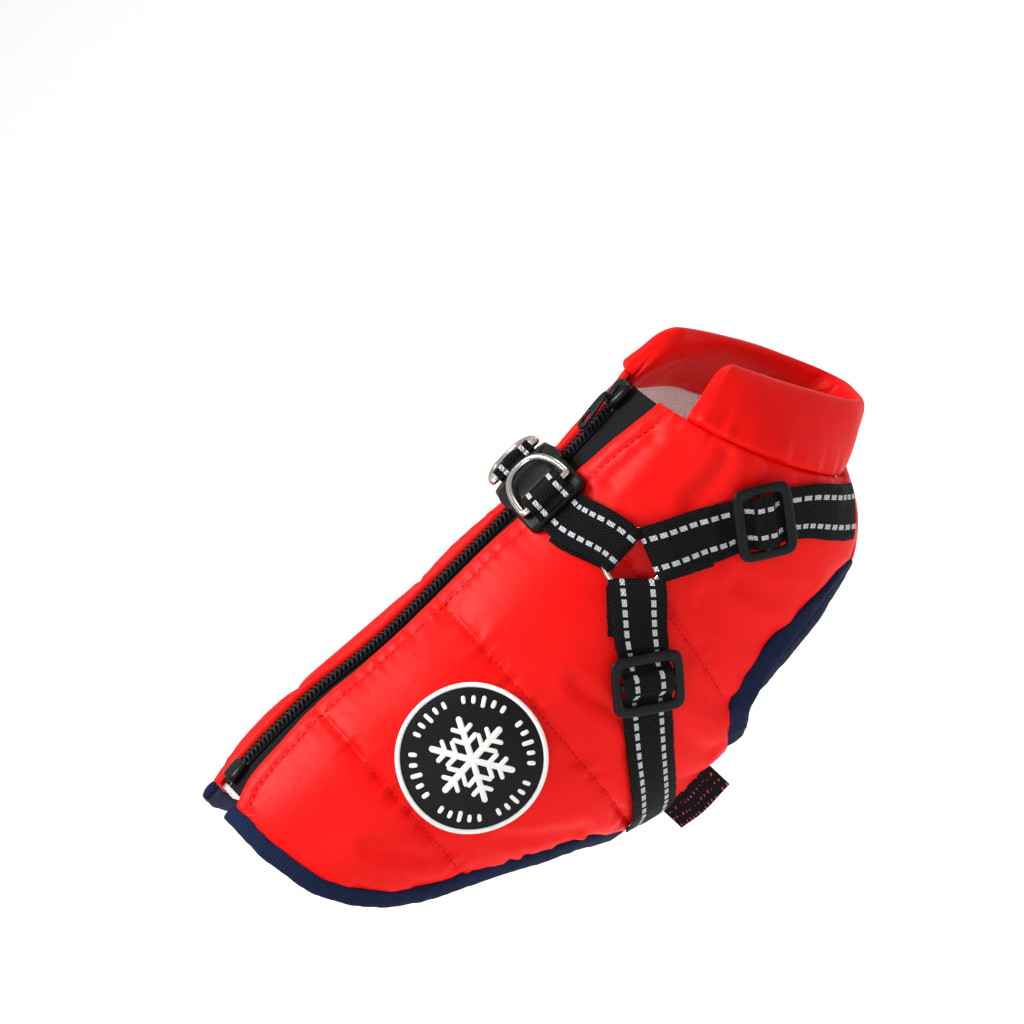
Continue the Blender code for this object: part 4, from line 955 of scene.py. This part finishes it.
# the pull tab lies from its hinge on the slider back along the chain
pullHinge = shell(np.array(197.5), np.array(0.0), 5.9)
pullBack = shell(np.array(181.0), np.array(0.0), 4.4)
pullLong = unit(pullBack - pullHinge)
pullCross = np.array((0.0, -1.0, 0.0))
pullUp = np.cross(pullCross, pullLong)
pullUp = pullUp * np.sign(pullUp[2])
pullOutline = roundedBox(8.72, 2.8, 0.62, middle=7.78)
pullOutline[:, 1] *= 0.72 + 0.28 * np.clip((pullOutline[:, 0] + 1) / 11, 0, 1)
pullHole = roundedBox(2.3, 1.15, 0.8, middle=11.4)
rimPlate("zipPullTab", pullOutline, pullHole, (-0.6, 0.6), pullHinge, pullLong, pullCross, pullUp,
         "pull_tab", "zipPlastic", "black_plastic", ["zip_pull"], 0.18)
print("zip ready")


webLook = {"halfWidth": 10.0, "thickness": 1.3, "loopClear": 0.1, "cell": 0.9, "tail": 27.0,
           "tailShift": (0.6, 1.8), "laidFrom": 38.0, "doubledTo": 36.5, "flatAfter": 8.0,
           "foldAt": {"back_strap": 5.7, "chest_strap": 8.0, "belly_strap": 9.2},
           "cutShort": {"chest_strap": 3.5, "belly_strap": 5.0},
           "wireRadius": 1.3, "oRingRadius": 11.2, "oRingAt": (163.0, 55.5), "oRingClear": 1.6}
strapRoutes = {
    "back_strap": ((163, 55.5), (161.5, 46), (158, 36), (156.2, 30), (155.9, 25.3)),
    "chest_strap": ((163, 55.5), (171.8, 60.8), (182.6, 69.2), (191.2, 80.6), (196.2, 91.6),
                    (200.2, 107), (202.3, 138.5)),
    "belly_strap": ((163, 55.5), (158.7, 61.2), (149.3, 73.2), (140.2, 86.8), (127.6, 105.4),
                    (117.4, 124), (106, 150.3))}
strapEnds = {"back_strap": (5.7, 7.0), "chest_strap": (3.3, 12.0), "belly_strap": (3.3, 12.0)}
glideAt = {"chest_strap": 49.5, "belly_strap": 44.5}
glideLook = {"halfLong": 11.8, "halfCross": 14.4, "windowLong": 7.6, "windowCross": 10.5,
             "floor": 2.3, "height": 2.0, "bar": 1.6}


def route(name, sign, distances):
    # station and angle at distances along a strap's curve, and the curve's length
    table = np.array(strapRoutes[name], float)
    knots = np.arange(len(table), dtype=float)
    fine = np.linspace(0, knots[-1], 240)
    line = np.stack([smoothCurve(fine, knots, table[:, k]) for k in (0, 1)], -1)
    run = runOf(body(line[:, 0], line[:, 1]))
    return (np.interp(distances, run, line[:, 0]),
            sign * np.interp(distances, run, line[:, 1]), run[-1])


def strapBase(station, angle, sideVector):
    # the highest padding under the webbing's width, and 0.5 mm
    highest = np.zeros_like(station)
    for share in (-1, -0.5, 0, 0.5, 1):
        s, a = moved(station, angle, sideVector * webLook["halfWidth"] * share)
        highest = np.maximum(highest, loft(s, a))
    return highest + 0.5


def strapFrame(name, sign, distances):
    # place, sideways direction and base along a strap, looking 2.6 mm either way
    station, angle, length = route(name, sign, distances)
    aheadStation, aheadAngle, _ = route(name, sign, np.minimum(distances + 2.6, length))
    behindStation, behindAngle, _ = route(name, sign, np.minimum(distances, length) - 2.6)
    along = body(aheadStation, aheadAngle) - body(behindStation, behindAngle)
    side = unit(np.cross(outward(station, angle), along))
    base = strapBase(station, angle, side)
    for s, a in ((aheadStation, aheadAngle), (behindStation, behindAngle)):
        base = np.maximum(base, strapBase(s, a, side))
    return station, angle, side, base


def planeLift(station, angle, centre, up):
    # how high above a cloth point a plane lies: (centre - point) . up / (normal . up)
    return ((centre - body(station, angle)) @ up) / (outward(station, angle) @ up)


def glideFrame(name, sign):
    # foot, long, cross and up of a tri-glide that just clears the padding under it
    long, window = glideLook["halfLong"], glideLook["windowLong"]
    at = glideAt[name] + np.array((0, 1, -long, -window, window, long))
    station, angle, _, base = strapFrame(name, sign, at)
    foot = body(station, angle)
    up = outward(station, angle)[0]
    along = foot[1] - foot[0]
    along = unit(along - up * np.dot(along, up))
    floor = np.max(base - planeLift(station, angle, foot[0], up)) + glideLook["floor"]
    return foot[0] + up * floor, along, np.cross(up, along), up


def oRingFrame(sign):
    # centre and normal of an O-ring, held just over the three straps' bases
    station, angle = np.array(webLook["oRingAt"][0]), np.array(sign * webLook["oRingAt"][1])
    up = outward(station, angle)
    nearWire = np.array([webLook["oRingRadius"]])
    highest = max(float(strapFrame(name, sign, nearWire)[3][0]) for name in strapRoutes)
    return body(station, angle) + up * (highest + webLook["thickness"] + webLook["oRingClear"]), up


def wirePlace(name, sign):
    # where a strap's route passes the O-ring's wire: distance along it and lift
    centre, up = oRingFrame(sign)
    distances = np.linspace(5, 15, 60)
    station, angle, _ = route(name, sign, distances)
    lift = planeLift(station, angle, centre, up)
    radius = np.linalg.norm(shell(station, angle, lift) - centre, axis=-1)
    distance = np.interp(webLook["oRingRadius"], radius, distances)
    return distance, np.interp(distance, distances, lift)


def strap(name, sideName, end):
    # webbing from its far end over the wire of the O-ring and back under itself: its height is
    # the padding's plus half its thickness, raised by a half circle round the wire, and lies in
    # the tri-glide's plane where it passes over the bar
    sign = 1 if sideName == "right" else -1
    thick = webLook["thickness"]
    half = thick / 2
    _, wire = wirePlace(name, sign)
    atWire = webLook["foldAt"][name]
    turn = webLook["wireRadius"] + webLook["loopClear"] + half
    top = np.linspace(end, atWire, int((end - atWire) / webLook["cell"]) + 2)
    fold = np.radians(np.linspace(90, 270, 15))[1:-1]
    under = np.linspace(atWire, min(webLook["tail"], end - 2), 14)
    distances = np.concatenate([top, atWire + turn * np.cos(fold), under])
    station, angle, side, base = strapFrame(name, sign, np.clip(distances, 1.0, None))
    laid = base + half
    flat = np.clip((distances - atWire) / webLook["flatAfter"], 0, 1)
    overWire = np.clip((webLook["laidFrom"] - top) / 24, 0, 1) ** 1.5
    double = (thick + 0.3) * np.clip((webLook["doubledTo"] - top) / 5, 0, 1)
    topHeight = np.maximum(laid[:len(top)] + double, (1 - overWire) * laid[:len(top)]
                           + overWire * (wire + turn))
    ringPlane = oRingFrame(sign)
    if name in glideAt:
        middle, aheadOfBar, sideways, glideUp = glideFrame(name, sign)
        fromBar = distances - glideAt[name]
        near = np.clip((14 - np.abs(fromBar)) / 4, 0, 1)
        overBar = np.clip((6.8 - np.abs(fromBar)) / 4.2, 0, 1)
        overBar = overBar * overBar * (3 - 2 * overBar)
        underGlide = half + 0.1 - glideLook["floor"]
        glideHeight = underGlide + overBar * (glideLook["height"] + 0.5 + half - underGlide)
    endLift, endRun = strapEnds[name]
    nearEnd = np.clip((top - end) / endRun + 1, 0, 1)
    topHeight = topHeight * (1 - nearEnd) + endLift * nearEnd
    lowHeight = (laid[-len(under):]
                 + (wire - turn - laid[-len(under)]) * np.linspace(1, 0, len(under)))
    height = np.concatenate([topHeight, wire + turn * np.sin(fold), lowHeight])
    layer = np.concatenate([double, np.zeros(len(fold) + len(under))])
    centre = shell(station, angle, height)
    up = unit(np.cross(tangents(centre), side))
    run = runOf(centre)
    across = np.array((-1, -0.985, -0.94, -0.8, -0.55, -0.25, 0, 0.25, 0.55, 0.8, 0.94, 0.985, 1))
    plump = np.sqrt(np.clip(1 - np.abs(across) ** 14, 0.06, 1))
    # the tail under the strap shows past one edge, the other one on the back strap
    tailShift = np.concatenate([np.zeros(len(top) + len(fold)),
                                np.linspace(*webLook["tailShift"], len(under))])
    tailShift *= -1 if name in glideAt else 1
    rows, uvs = [], []
    for way, shares in ((1, across), (-1, across[::-1])):
        for share, fat in zip(shares, plump if way == 1 else plump[::-1]):
            edgeWave = 0.18 * ripples(run / 1.5, share * 3, 60 + way) * abs(share) ** 6
            reach = (webLook["halfWidth"] + edgeWave) * share + tailShift
            s, a = moved(station, angle, side * reach[:, None])
            lift = height + (1 - flat) * (planeLift(s, a, *ringPlane)
                                          - planeLift(station, angle, *ringPlane))
            lift = np.maximum(lift, loft(s, a) + 0.45 + half + layer)
            row = shell(s, a, lift) + up * half * way * fat
            if name in glideAt:
                inGlide = (middle + fromBar[:, None] * aheadOfBar + reach[:, None] * sideways
                           + (glideHeight - half * way * fat)[:, None] * glideUp)
                row += near[:, None] * (inGlide - row)
            rows.append(row)
            uvs.append(np.stack([run, np.full_like(run, share * webLook["halfWidth"])], -1))
    made = tubePiece(sideName + "".join(w.title() for w in name.split("_")),
                     np.stack(rows, axis=1), False, np.stack(uvs, axis=1))
    place(made, "webbing", "black_webbing", [sideName + "_" + name])
    return made, run[-1]


def wireRing(name, path, normal, body, nodes, sides=14):
    # a round wire along a closed path that lies in one plane
    along = tangents(path, closed=True)
    up = np.repeat(normal[None, :], len(path), axis=0)
    t = np.linspace(0, 2 * math.pi, sides, endpoint=False)
    profile = np.stack([np.cos(t), np.sin(t)], -1) * webLook["wireRadius"]
    made = tubePiece(name, carried(path, np.cross(along, up), up, profile), True)
    return place(made, "nickel", "nickel_wire", nodes, body)


def oRing(sideName, sign):
    # circle: centre + radius * (cos first + sin second)
    centre, up = oRingFrame(sign)
    first = unit(np.cross(up, (0.0, 0.0, 1.0)))
    second = np.cross(up, first)
    t = np.linspace(0, 2 * math.pi, 120, endpoint=False)[:, None]
    path = centre + webLook["oRingRadius"] * (np.cos(t) * first + np.sin(t) * second)
    wireRing(sideName + "ORing", path, up, "jacket", [sideName + "_o_ring"])


def triGlide(name, sideName, sign):
    # a frame between two soft boxes, with a bar across its window
    frameParts = glideFrame(name, sign)
    title = "".join(w.title() for w in name.replace("strap", "glide").split("_"))
    rimPlate(sideName + title, roundedBox(glideLook["halfLong"], glideLook["halfCross"], 0.34),
             roundedBox(glideLook["windowLong"], glideLook["windowCross"], 0.2),
             (0.0, glideLook["height"]), *frameParts, "jacket", "plastic", "black_plastic",
             [sideName + "_" + name.replace("strap", "glide")], 0.22)
    middle, along, across, up = frameParts
    reach = np.linspace(-1, 1, 12) * (glideLook["windowCross"] + 0.6)
    path = middle + across * reach[:, None] + up * glideLook["height"] * 0.5
    bar = lozenge(sideName + title + "Bar", path, np.full(12, glideLook["bar"]),
                  np.full(12, glideLook["height"] / 2), up, along, 16, 0.7)
    place(bar, "plastic", "black_plastic")


buckleLook = {"halfWidth": 13.7, "reach": 21.0, "low": 3.6, "high": 7.8, "edge": 1.3}
dLook = {"barReach": 15.0, "clear": 0.8, "halfWidth": 11.2, "reach": 19.0,
         "lean": {"right": 17.0, "left": -19.0}}
strapLengths = {}
for sideName, sign in (("right", 1), ("left", -1)):
    for name in strapRoutes:
        length = route(name, 1, np.array([0.0]))[2]
        piece, cut = strap(name, sideName, length - webLook["cutShort"].get(name, 0))
        strapLengths[name] = cut
    for name in glideAt:
        triGlide(name, sideName, sign)
    oRing(sideName, sign)
print("straps ready, cut lengths in mm:", {k: round(v) for k, v in strapLengths.items()})


def dBar(sideName):
    # the middle of a D-ring's straight bar, which is its hinge
    sign = 1 if sideName == "right" else -1
    station = np.array(withers + 0.5)
    angle = sign * spineAngle(station, dLook["barReach"])
    return shell(station, angle, buckleLook["high"] + dLook["clear"] + webLook["wireRadius"])


def dRing(sideName):
    # bow: halfWidth * |cos| ^ 0.75 across and reach * sin ^ 0.9 out, closed by the bar
    middle = dBar(sideName)
    lean = math.radians(dLook["lean"][sideName])
    reach = np.array((0.0, math.cos(lean), math.sin(lean)))
    bar = np.array((1.0, 0.0, 0.0))
    t = np.linspace(0, math.pi, 161)
    bow = np.stack([dLook["halfWidth"] * np.sign(np.cos(t)) * np.abs(np.cos(t)) ** 0.75,
                    dLook["reach"] * np.sin(t) ** 0.9], -1)
    straight = np.stack([np.linspace(-1, 1, 31)[1:-1] * dLook["halfWidth"], np.zeros(29)], -1)
    outline = spaced(np.concatenate([bow, straight]), 170, closed=True)
    outline = smoothed(outline, 6)
    path = middle + outline[:, :1] * bar + outline[:, 1:] * reach
    wireRing(sideName + "DRing", path, np.cross(bar, reach), sideName + "_ring",
             [sideName + "_d_ring"])


def dLoop(sideName):
    # webbing that arches over the ring's bar, with a foot on either side
    sign = 1 if sideName == "right" else -1
    top, half = buckleLook["high"], webLook["thickness"] / 2
    barLift = top + dLook["clear"] + webLook["wireRadius"]
    arch = webLook["wireRadius"] + 0.3 + half
    turn = np.radians(np.linspace(180, 0, 31))
    reach = np.concatenate([np.linspace(-5.2, -3.4, 5), arch * 1.05 * np.cos(turn),
                            np.linspace(3.4, 5.2, 5)])
    foot = np.full(5, top + 0.3 + half)
    lift = np.maximum(np.concatenate([foot, barLift + arch * np.sin(turn), foot]), foot[0])
    for _ in range(2):
        lift[1:-1] = (lift[:-2] + 2 * lift[1:-1] + lift[2:]) / 4
    across = np.linspace(-8.6, 8.6, 25)
    stations = withers + 0.5 + across
    slope = tangents(np.stack([reach, lift], -1))
    run = runOf(np.stack([reach, lift], -1))
    grids = []
    for way in (half, -half):
        reaches = dLook["barReach"] + reach - slope[:, 1] * way
        lifts = lift + slope[:, 0] * way
        angle = sign * np.stack([spineAngle(stations, r) for r in reaches], -1)
        grids.append(shell(np.repeat(stations[:, None], len(reaches), 1), angle,
                           np.broadcast_to(lifts, angle.shape)))
    uv = np.stack(np.broadcast_arrays(run[None, :] - run[-1] / 2 + 3.4, across[:, None]), -1)
    made = place(wallPiece(sideName + "DLoop", grids[0], grids[1], uv), "webbing", "black_webbing",
                 [sideName + "_d_loop"])


def buckleHalf(name, node, start, end, plate):
    # a curved slab: top = low + (high - low) * (0.3 + 0.7 * rounded edge), with a plate raised
    # between two grooves on the socket and sloped shoulders on the plug
    p, q = np.meshgrid(np.linspace(-1, 1, 74), np.linspace(-1, 1, 60), indexing="ij")
    pull = 1 - 0.11 * np.abs(p) ** 9 * np.abs(q) ** 9
    across, reach = p * pull * buckleLook["halfWidth"], q * pull
    reach = (start + end) / 2 + reach * (end - start) / 2
    fromRim = np.minimum((1 - np.abs(p)) * buckleLook["halfWidth"],
                         (1 - np.abs(q)) * abs(end - start) / 2)
    rounding = edgeRound(fromRim, buckleLook["edge"])
    low, high = buckleLook["low"], buckleLook["high"]
    top = low + (high - low) * (0.3 + 0.7 * rounding)
    if plate:
        ridge = (np.clip((8.2 - np.abs(across)) / 0.7, 0, 1)
                 * np.clip((reach - plate[0]) / 0.7, 0, 1)
                 * np.clip((plate[1] - reach) / 0.7, 0, 1))
        groove = (np.exp(-((np.abs(across) - 9.4) / 0.45) ** 2)
                  * np.clip((plate[1] - reach) / 2, 0, 1))
        top = top + 0.55 * ridge - 0.45 * groove
    else:
        slope = np.clip((np.abs(across) - 9.5) / 4, 0, 1)
        top = top - 0.8 * slope
    station = withers + 0.5 + across
    angle = spineAngle(station, reach)
    made = wallPiece(name, shell(station, angle, np.full_like(angle, low)),
                     shell(station, angle, top))
    return place(made, "plastic", "black_plastic", [node])


buckleHalf("buckleSocket", "buckle_socket", -3.8, buckleLook["reach"], (-3.2, 9.0))
buckleHalf("bucklePlug", "buckle_plug", -buckleLook["reach"], -4.3, None)
for sign in (1, -1):
    # the spring arm of the plug, which shows in the socket's side window
    count = 14
    angle = spineAngle(np.full(count, withers), np.linspace(-3.6, 8.0, count))
    bowed = 12.3 + 1.0 * np.sin(np.pi * np.linspace(0, 1, count))
    path = shell(withers + 0.5 + sign * bowed, angle, np.full(count, 6.6))
    arm = lozenge("buckleArm" + ("Front" if sign > 0 else "Back"), path,
                  np.linspace(1.0, 1.5, count), np.full(count, 1.2),
                  outward(np.full(count, withers), angle), np.array((1.0, 0.0, 0.0)), 16, 0.7)
    place(arm, "plastic", "black_plastic")
for sideName in ("right", "left"):
    dRing(sideName)
    dLoop(sideName)
print("buckle and D-rings ready")


patchLook = {"station": 69.0, "angle": 66.5, "radius": 28.2, "markLow": 1.9, "markTop": 2.45,
             "turn": 14.0, "arm": 14.6, "armHalf": 1.15, "branchHalf": 0.85, "tickHalf": 0.8}
patchCentre = np.array(patchLook["station"]), np.array(patchLook["angle"])
patchUp = outward(*patchCentre)
patchFirst = unit(slopesOf(*patchCentre)[0])
patchSecond = np.cross(patchUp, patchFirst)


def patchPoints(x, y, lift):
    # a point of the patch's plane laid on the padding, x towards the head
    x, y = np.broadcast_arrays(x, y)
    shift = x[..., None] * patchFirst + y[..., None] * patchSecond
    s, a = moved(np.full(x.shape, patchLook["station"]), np.full(x.shape, patchLook["angle"]),
                 shift)
    return shell(s, a, loft(s, a) + lift)


def polarPlate(name, radii, lifts, material, nodes=(), count=128):
    # a profile (radius, lift) turned round the patch's middle
    t = np.linspace(0, 2 * math.pi, count, endpoint=False)[None, :]
    radii, lifts = np.array(radii)[:, None], np.array(lifts)[:, None]
    points = patchPoints(radii * np.cos(t), radii * np.sin(t), lifts + 0 * t)
    closed = radii[0, 0] > 5
    return place(tubePiece(name, points, closed), material, "patch_rubber", nodes)


def patchBars(name, bars, low, high):
    # each bar is a rounded rod lying on the disc: (x0, y0, x1, y1, half width)
    bars = np.array(bars, float)
    share = np.array((0, 0.012, 0.05, 0.12, 0.3, 0.5, 0.7, 0.88, 0.95, 0.988, 1.0))
    start, end, half = bars[:, :2], bars[:, 2:4], bars[:, 4]
    length = np.linalg.norm(end - start, axis=-1)
    along = (end - start) / length[:, None]
    cross = np.stack([-along[:, 1], along[:, 0]], -1)
    fromTip = np.minimum(share, 1 - share)[None, :] * (length + 2 * half)[:, None]
    taper = edgeRound(fromTip, half[:, None], 0.01)
    at = -half[:, None] + share[None, :] * (length + 2 * half)[:, None]
    t = np.array((-1, -0.93, -0.75, -0.3, 0.3, 0.75, 0.93, 1.0))
    level = np.array((0, 0.55, 0.92, 1, 1, 0.92, 0.55, 0))
    t, level = np.concatenate([t, t[-2:0:-1]]), np.concatenate([level, np.full(6, -0.6)])
    flat = (start[:, None, None] + along[:, None, None] * at[:, :, None, None]
            + cross[:, None, None] * (half[:, None, None] * taper[:, :, None] * t)[..., None])
    lift = low + (high - low) * (level * taper[..., None])
    made = rodsPiece(name, patchPoints(flat[..., 0], flat[..., 1], lift))
    return place(made, "patchWhite", "patch_rubber")


def snowflakeBars():
    # six arms with two pairs of branches, and five short ticks in the ring for each arm
    bars = []
    for k in range(6):
        turn = math.radians(60 * k + patchLook["turn"])
        spin = np.array(((math.cos(turn), -math.sin(turn)), (math.sin(turn), math.cos(turn))))
        arm = [((0, 0), (patchLook["arm"], 0), patchLook["armHalf"])]
        for foot, reach in ((5.6, 3.9), (9.6, 3.3)):
            for way in (1, -1):
                arm.append(((foot, 0), (foot + reach * 0.62, way * reach),
                            patchLook["branchHalf"]))
        bars += [(*(spin @ np.array(a)), *(spin @ np.array(b)), half) for a, b, half in arm]
    for k in range(36):
        turn = math.radians(10 * k + patchLook["turn"])
        if k % 6:
            inner, outer = (19.6, 22.6) if k % 6 == 3 else (20.6, 22.2)
            ray = np.array((math.cos(turn), math.sin(turn)))
            bars.append((*(ray * inner), *(ray * outer), patchLook["tickHalf"]))
    return bars


full = patchLook["radius"]
polarPlate("patchDisc", (0.05, 5, 10, 15, 20, 24, full - 0.6, full - 0.15, full, full - 0.1,
                         full - 0.5, 24, 20, 15, 10, 5, 0.05),
           (0.6,) * 7 + (0.75, 1.2, 1.7) + (1.9,) * 7, "patchBlack", ["patch"])
polarPlate("patchRim", (full - 2.1, full - 1.95, full - 1.4, full - 0.9, full - 0.35, full - 0.15,
                        full - 0.35, full - 1.2, full - 1.95),
           (1.75, 2.35, 2.7, 2.75, 2.5, 2.1, 1.75, 1.7, 1.7), "patchWhite", count=160)
patchBars("patchSnowflake", snowflakeBars(), patchLook["markLow"], patchLook["markTop"])

labelLook = {"station": 133.8, "width": 31.5, "drop": 11.0, "thickness": 0.6}


def labelPiece():
    # hangs from the seam by a straight drop, with a slight curl: sin down it * cos along it
    across = np.linspace(-0.5, 0.5, 40) * labelLook["width"]
    stations = labelLook["station"] + across
    edge = lowerAngle(stations)
    top = shell(stations, edge - 1, loft(stations, edge - 1) + 0.9)
    drops = np.linspace(0, 1, 24) * labelLook["drop"]
    hang = np.array((0.05, -0.42, -0.9))
    out = outward(stations, edge)[:, None]
    curl = 0.5 * np.sin(drops / labelLook["drop"] * 2.4)[None, :] * np.cos(across / 5)[:, None]
    front = top[:, None] + hang * drops[None, :, None] + out * curl[..., None]
    uv = np.stack(np.broadcast_arrays(across[:, None] + 12, drops[None, :]), -1)
    made = wallPiece("wovenSideLabel", front, front + out * labelLook["thickness"], uv)
    place(made, "label", "black_webbing", ["label"])


labelPiece()
print("patch and label ready")


stitchLook = {"pitch": 3.0, "length": 2.1, "radius": 0.24}
quiltStitchLook = {"pitch": 2.6, "length": 1.8, "radius": 0.2}


def stitches(name, station, angle, lift, pitch, length, radius):
    # short rods of thread along a line of cloth points, their ends dipping into the cloth
    run = runOf(shell(station, angle, lift))
    starts = np.arange(pitch, run[-1] - pitch, pitch)
    share = np.array((-0.5, -0.38, 0.0, 0.38, 0.5))
    at = starts[:, None] + share[None, :] * length
    s, a, h = (np.interp(at, run, v) for v in (station, angle, lift))
    dip = np.array((-0.55, -0.05, 0.12, -0.05, -0.55)) * radius * 2
    centre = shell(s, a, h + dip)
    along = unit(np.gradient(centre, axis=1))
    up = outward(s, a)
    side = np.cross(along, up)
    t = np.linspace(0, 2 * math.pi, 6, endpoint=False)
    fat = np.array((0.6, 0.95, 1.0, 0.95, 0.6))[None, :, None, None] * radius
    points = (centre[:, :, None] + side[:, :, None] * np.cos(t)[:, None] * fat
              + up[:, :, None] * np.sin(t)[:, None] * fat)
    place(rodsPiece(name, points), "redThread", "red_nylon")


for sideName, sign in (("right", 1), ("left", -1)):
    station = np.linspace(tail + 2, neck - 2, 400)
    angle = spineAngle(station, placketReach(station, sideName) + panelLook["stitchAt"])
    lift = loft(station, angle) + fineRelief(station, angle, sideName) + 0.05
    stitches(sideName + "PlacketStitches", station, sign * angle, lift, **stitchLook)
    for k, line in enumerate(quiltStations):
        low = float(spineAngle(np.array(line), placketReach(np.array(line), sideName) + 8.5))
        high = float(lowerAngle(np.array(line))) - 4
        angle = np.linspace(low, high, 300)
        station = np.full(300, line)
        lift = loft(station, angle) + fineRelief(station, angle, sideName) + 0.05
        stitches(sideName + "QuiltStitches" + str(k + 1), station, sign * angle, lift,
                 **quiltStitchLook)
print("sewing ready")


stageLook = {"floorDrop": 0.20, "floor": "fcfcfb", "world": 0.51, "key": 19.0, "fill": 5.0,
             "rim": 2.5, "aim": (-0.03, 0, -0.05)}
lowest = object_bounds()[0].z
floorMesh = bpy.data.meshes.new("paleFloor")
floorMesh.from_pydata([(-6, -6, 0), (6, -6, 0), (6, 6, 0), (-6, 6, 0)], [], [(0, 1, 2, 3)])
floor = bpy.data.objects.new("paleFloor", floorMesh)
floor.location.z = lowest - stageLook["floorDrop"]
bpy.context.scene.collection.objects.link(floor)
floorFinish, floorTree, floorShader = newFinish("paleMattPaint")
setInputs(floorTree, floorShader, {"Base Color": toLinear(stageLook["floor"]), "Roughness": 0.9,
                                   "Specular IOR Level": 0.1})
floorMesh.materials.append(floorFinish)

world = bpy.data.worlds.new("studio")
bpy.context.scene.world = world
bpy.context.scene.view_settings.view_transform = "Standard"
world.use_nodes = True
world.node_tree.nodes["Background"].inputs["Color"].default_value = toLinear("ffffff")
world.node_tree.nodes["Background"].inputs["Strength"].default_value = stageLook["world"]


def softLight(name, place, target, size, power):
    # a round lamp, its size in metres and its power in watts, aimed at the target
    lamp = bpy.data.lights.new(name, "AREA")
    lamp.shape, lamp.size, lamp.energy = "DISK", size, power
    made = bpy.data.objects.new(name, lamp)
    made.location = place
    made.rotation_mode = "QUATERNION"
    made.rotation_quaternion = (Vector(target) - Vector(place)).to_track_quat("-Z", "Y")
    bpy.context.scene.collection.objects.link(made)


softLight("keyAbove", (-0.35, 0.15, 1.1), stageLook["aim"], 0.6, stageLook["key"])
softLight("fillFront", (-0.5, -1.2, 0.35), stageLook["aim"], 1.0, stageLook["fill"])
softLight("rimBehind", (0.9, 0.7, 0.5), (0, 0, -0.05), 0.5, stageLook["rim"])

# the photo's view: from the right side, 30 degrees above, with the spine rising to the right
upright = Vector((0, 0.5, 0.8660254))
right = Vector((0.72, 0, 0)) - 0.694 * upright
up = Vector((0.694, 0, 0)) + 0.72 * upright
back = right.cross(up).normalized()
middle = (Vector((141.4, 0.8, 1.386)) - Vector(holdPoint)) * 0.001
camera = bpy.data.objects.new("camera", bpy.data.cameras.new("camera"))
camera.data.type = "ORTHO"
camera.data.ortho_scale = 1.024 / 2.7
camera.data.clip_start, camera.data.clip_end = 0.01, 20
camera.matrix_world = Matrix((
    (right.x, up.x, back.x, middle.x + back.x * 1.5),
    (right.y, up.y, back.y, middle.y + back.y * 1.5),
    (right.z, up.z, back.z, middle.z + back.z * 1.5), (0, 0, 0, 1)))
bpy.context.scene.collection.objects.link(camera)
bpy.context.scene.camera = camera

print("done")
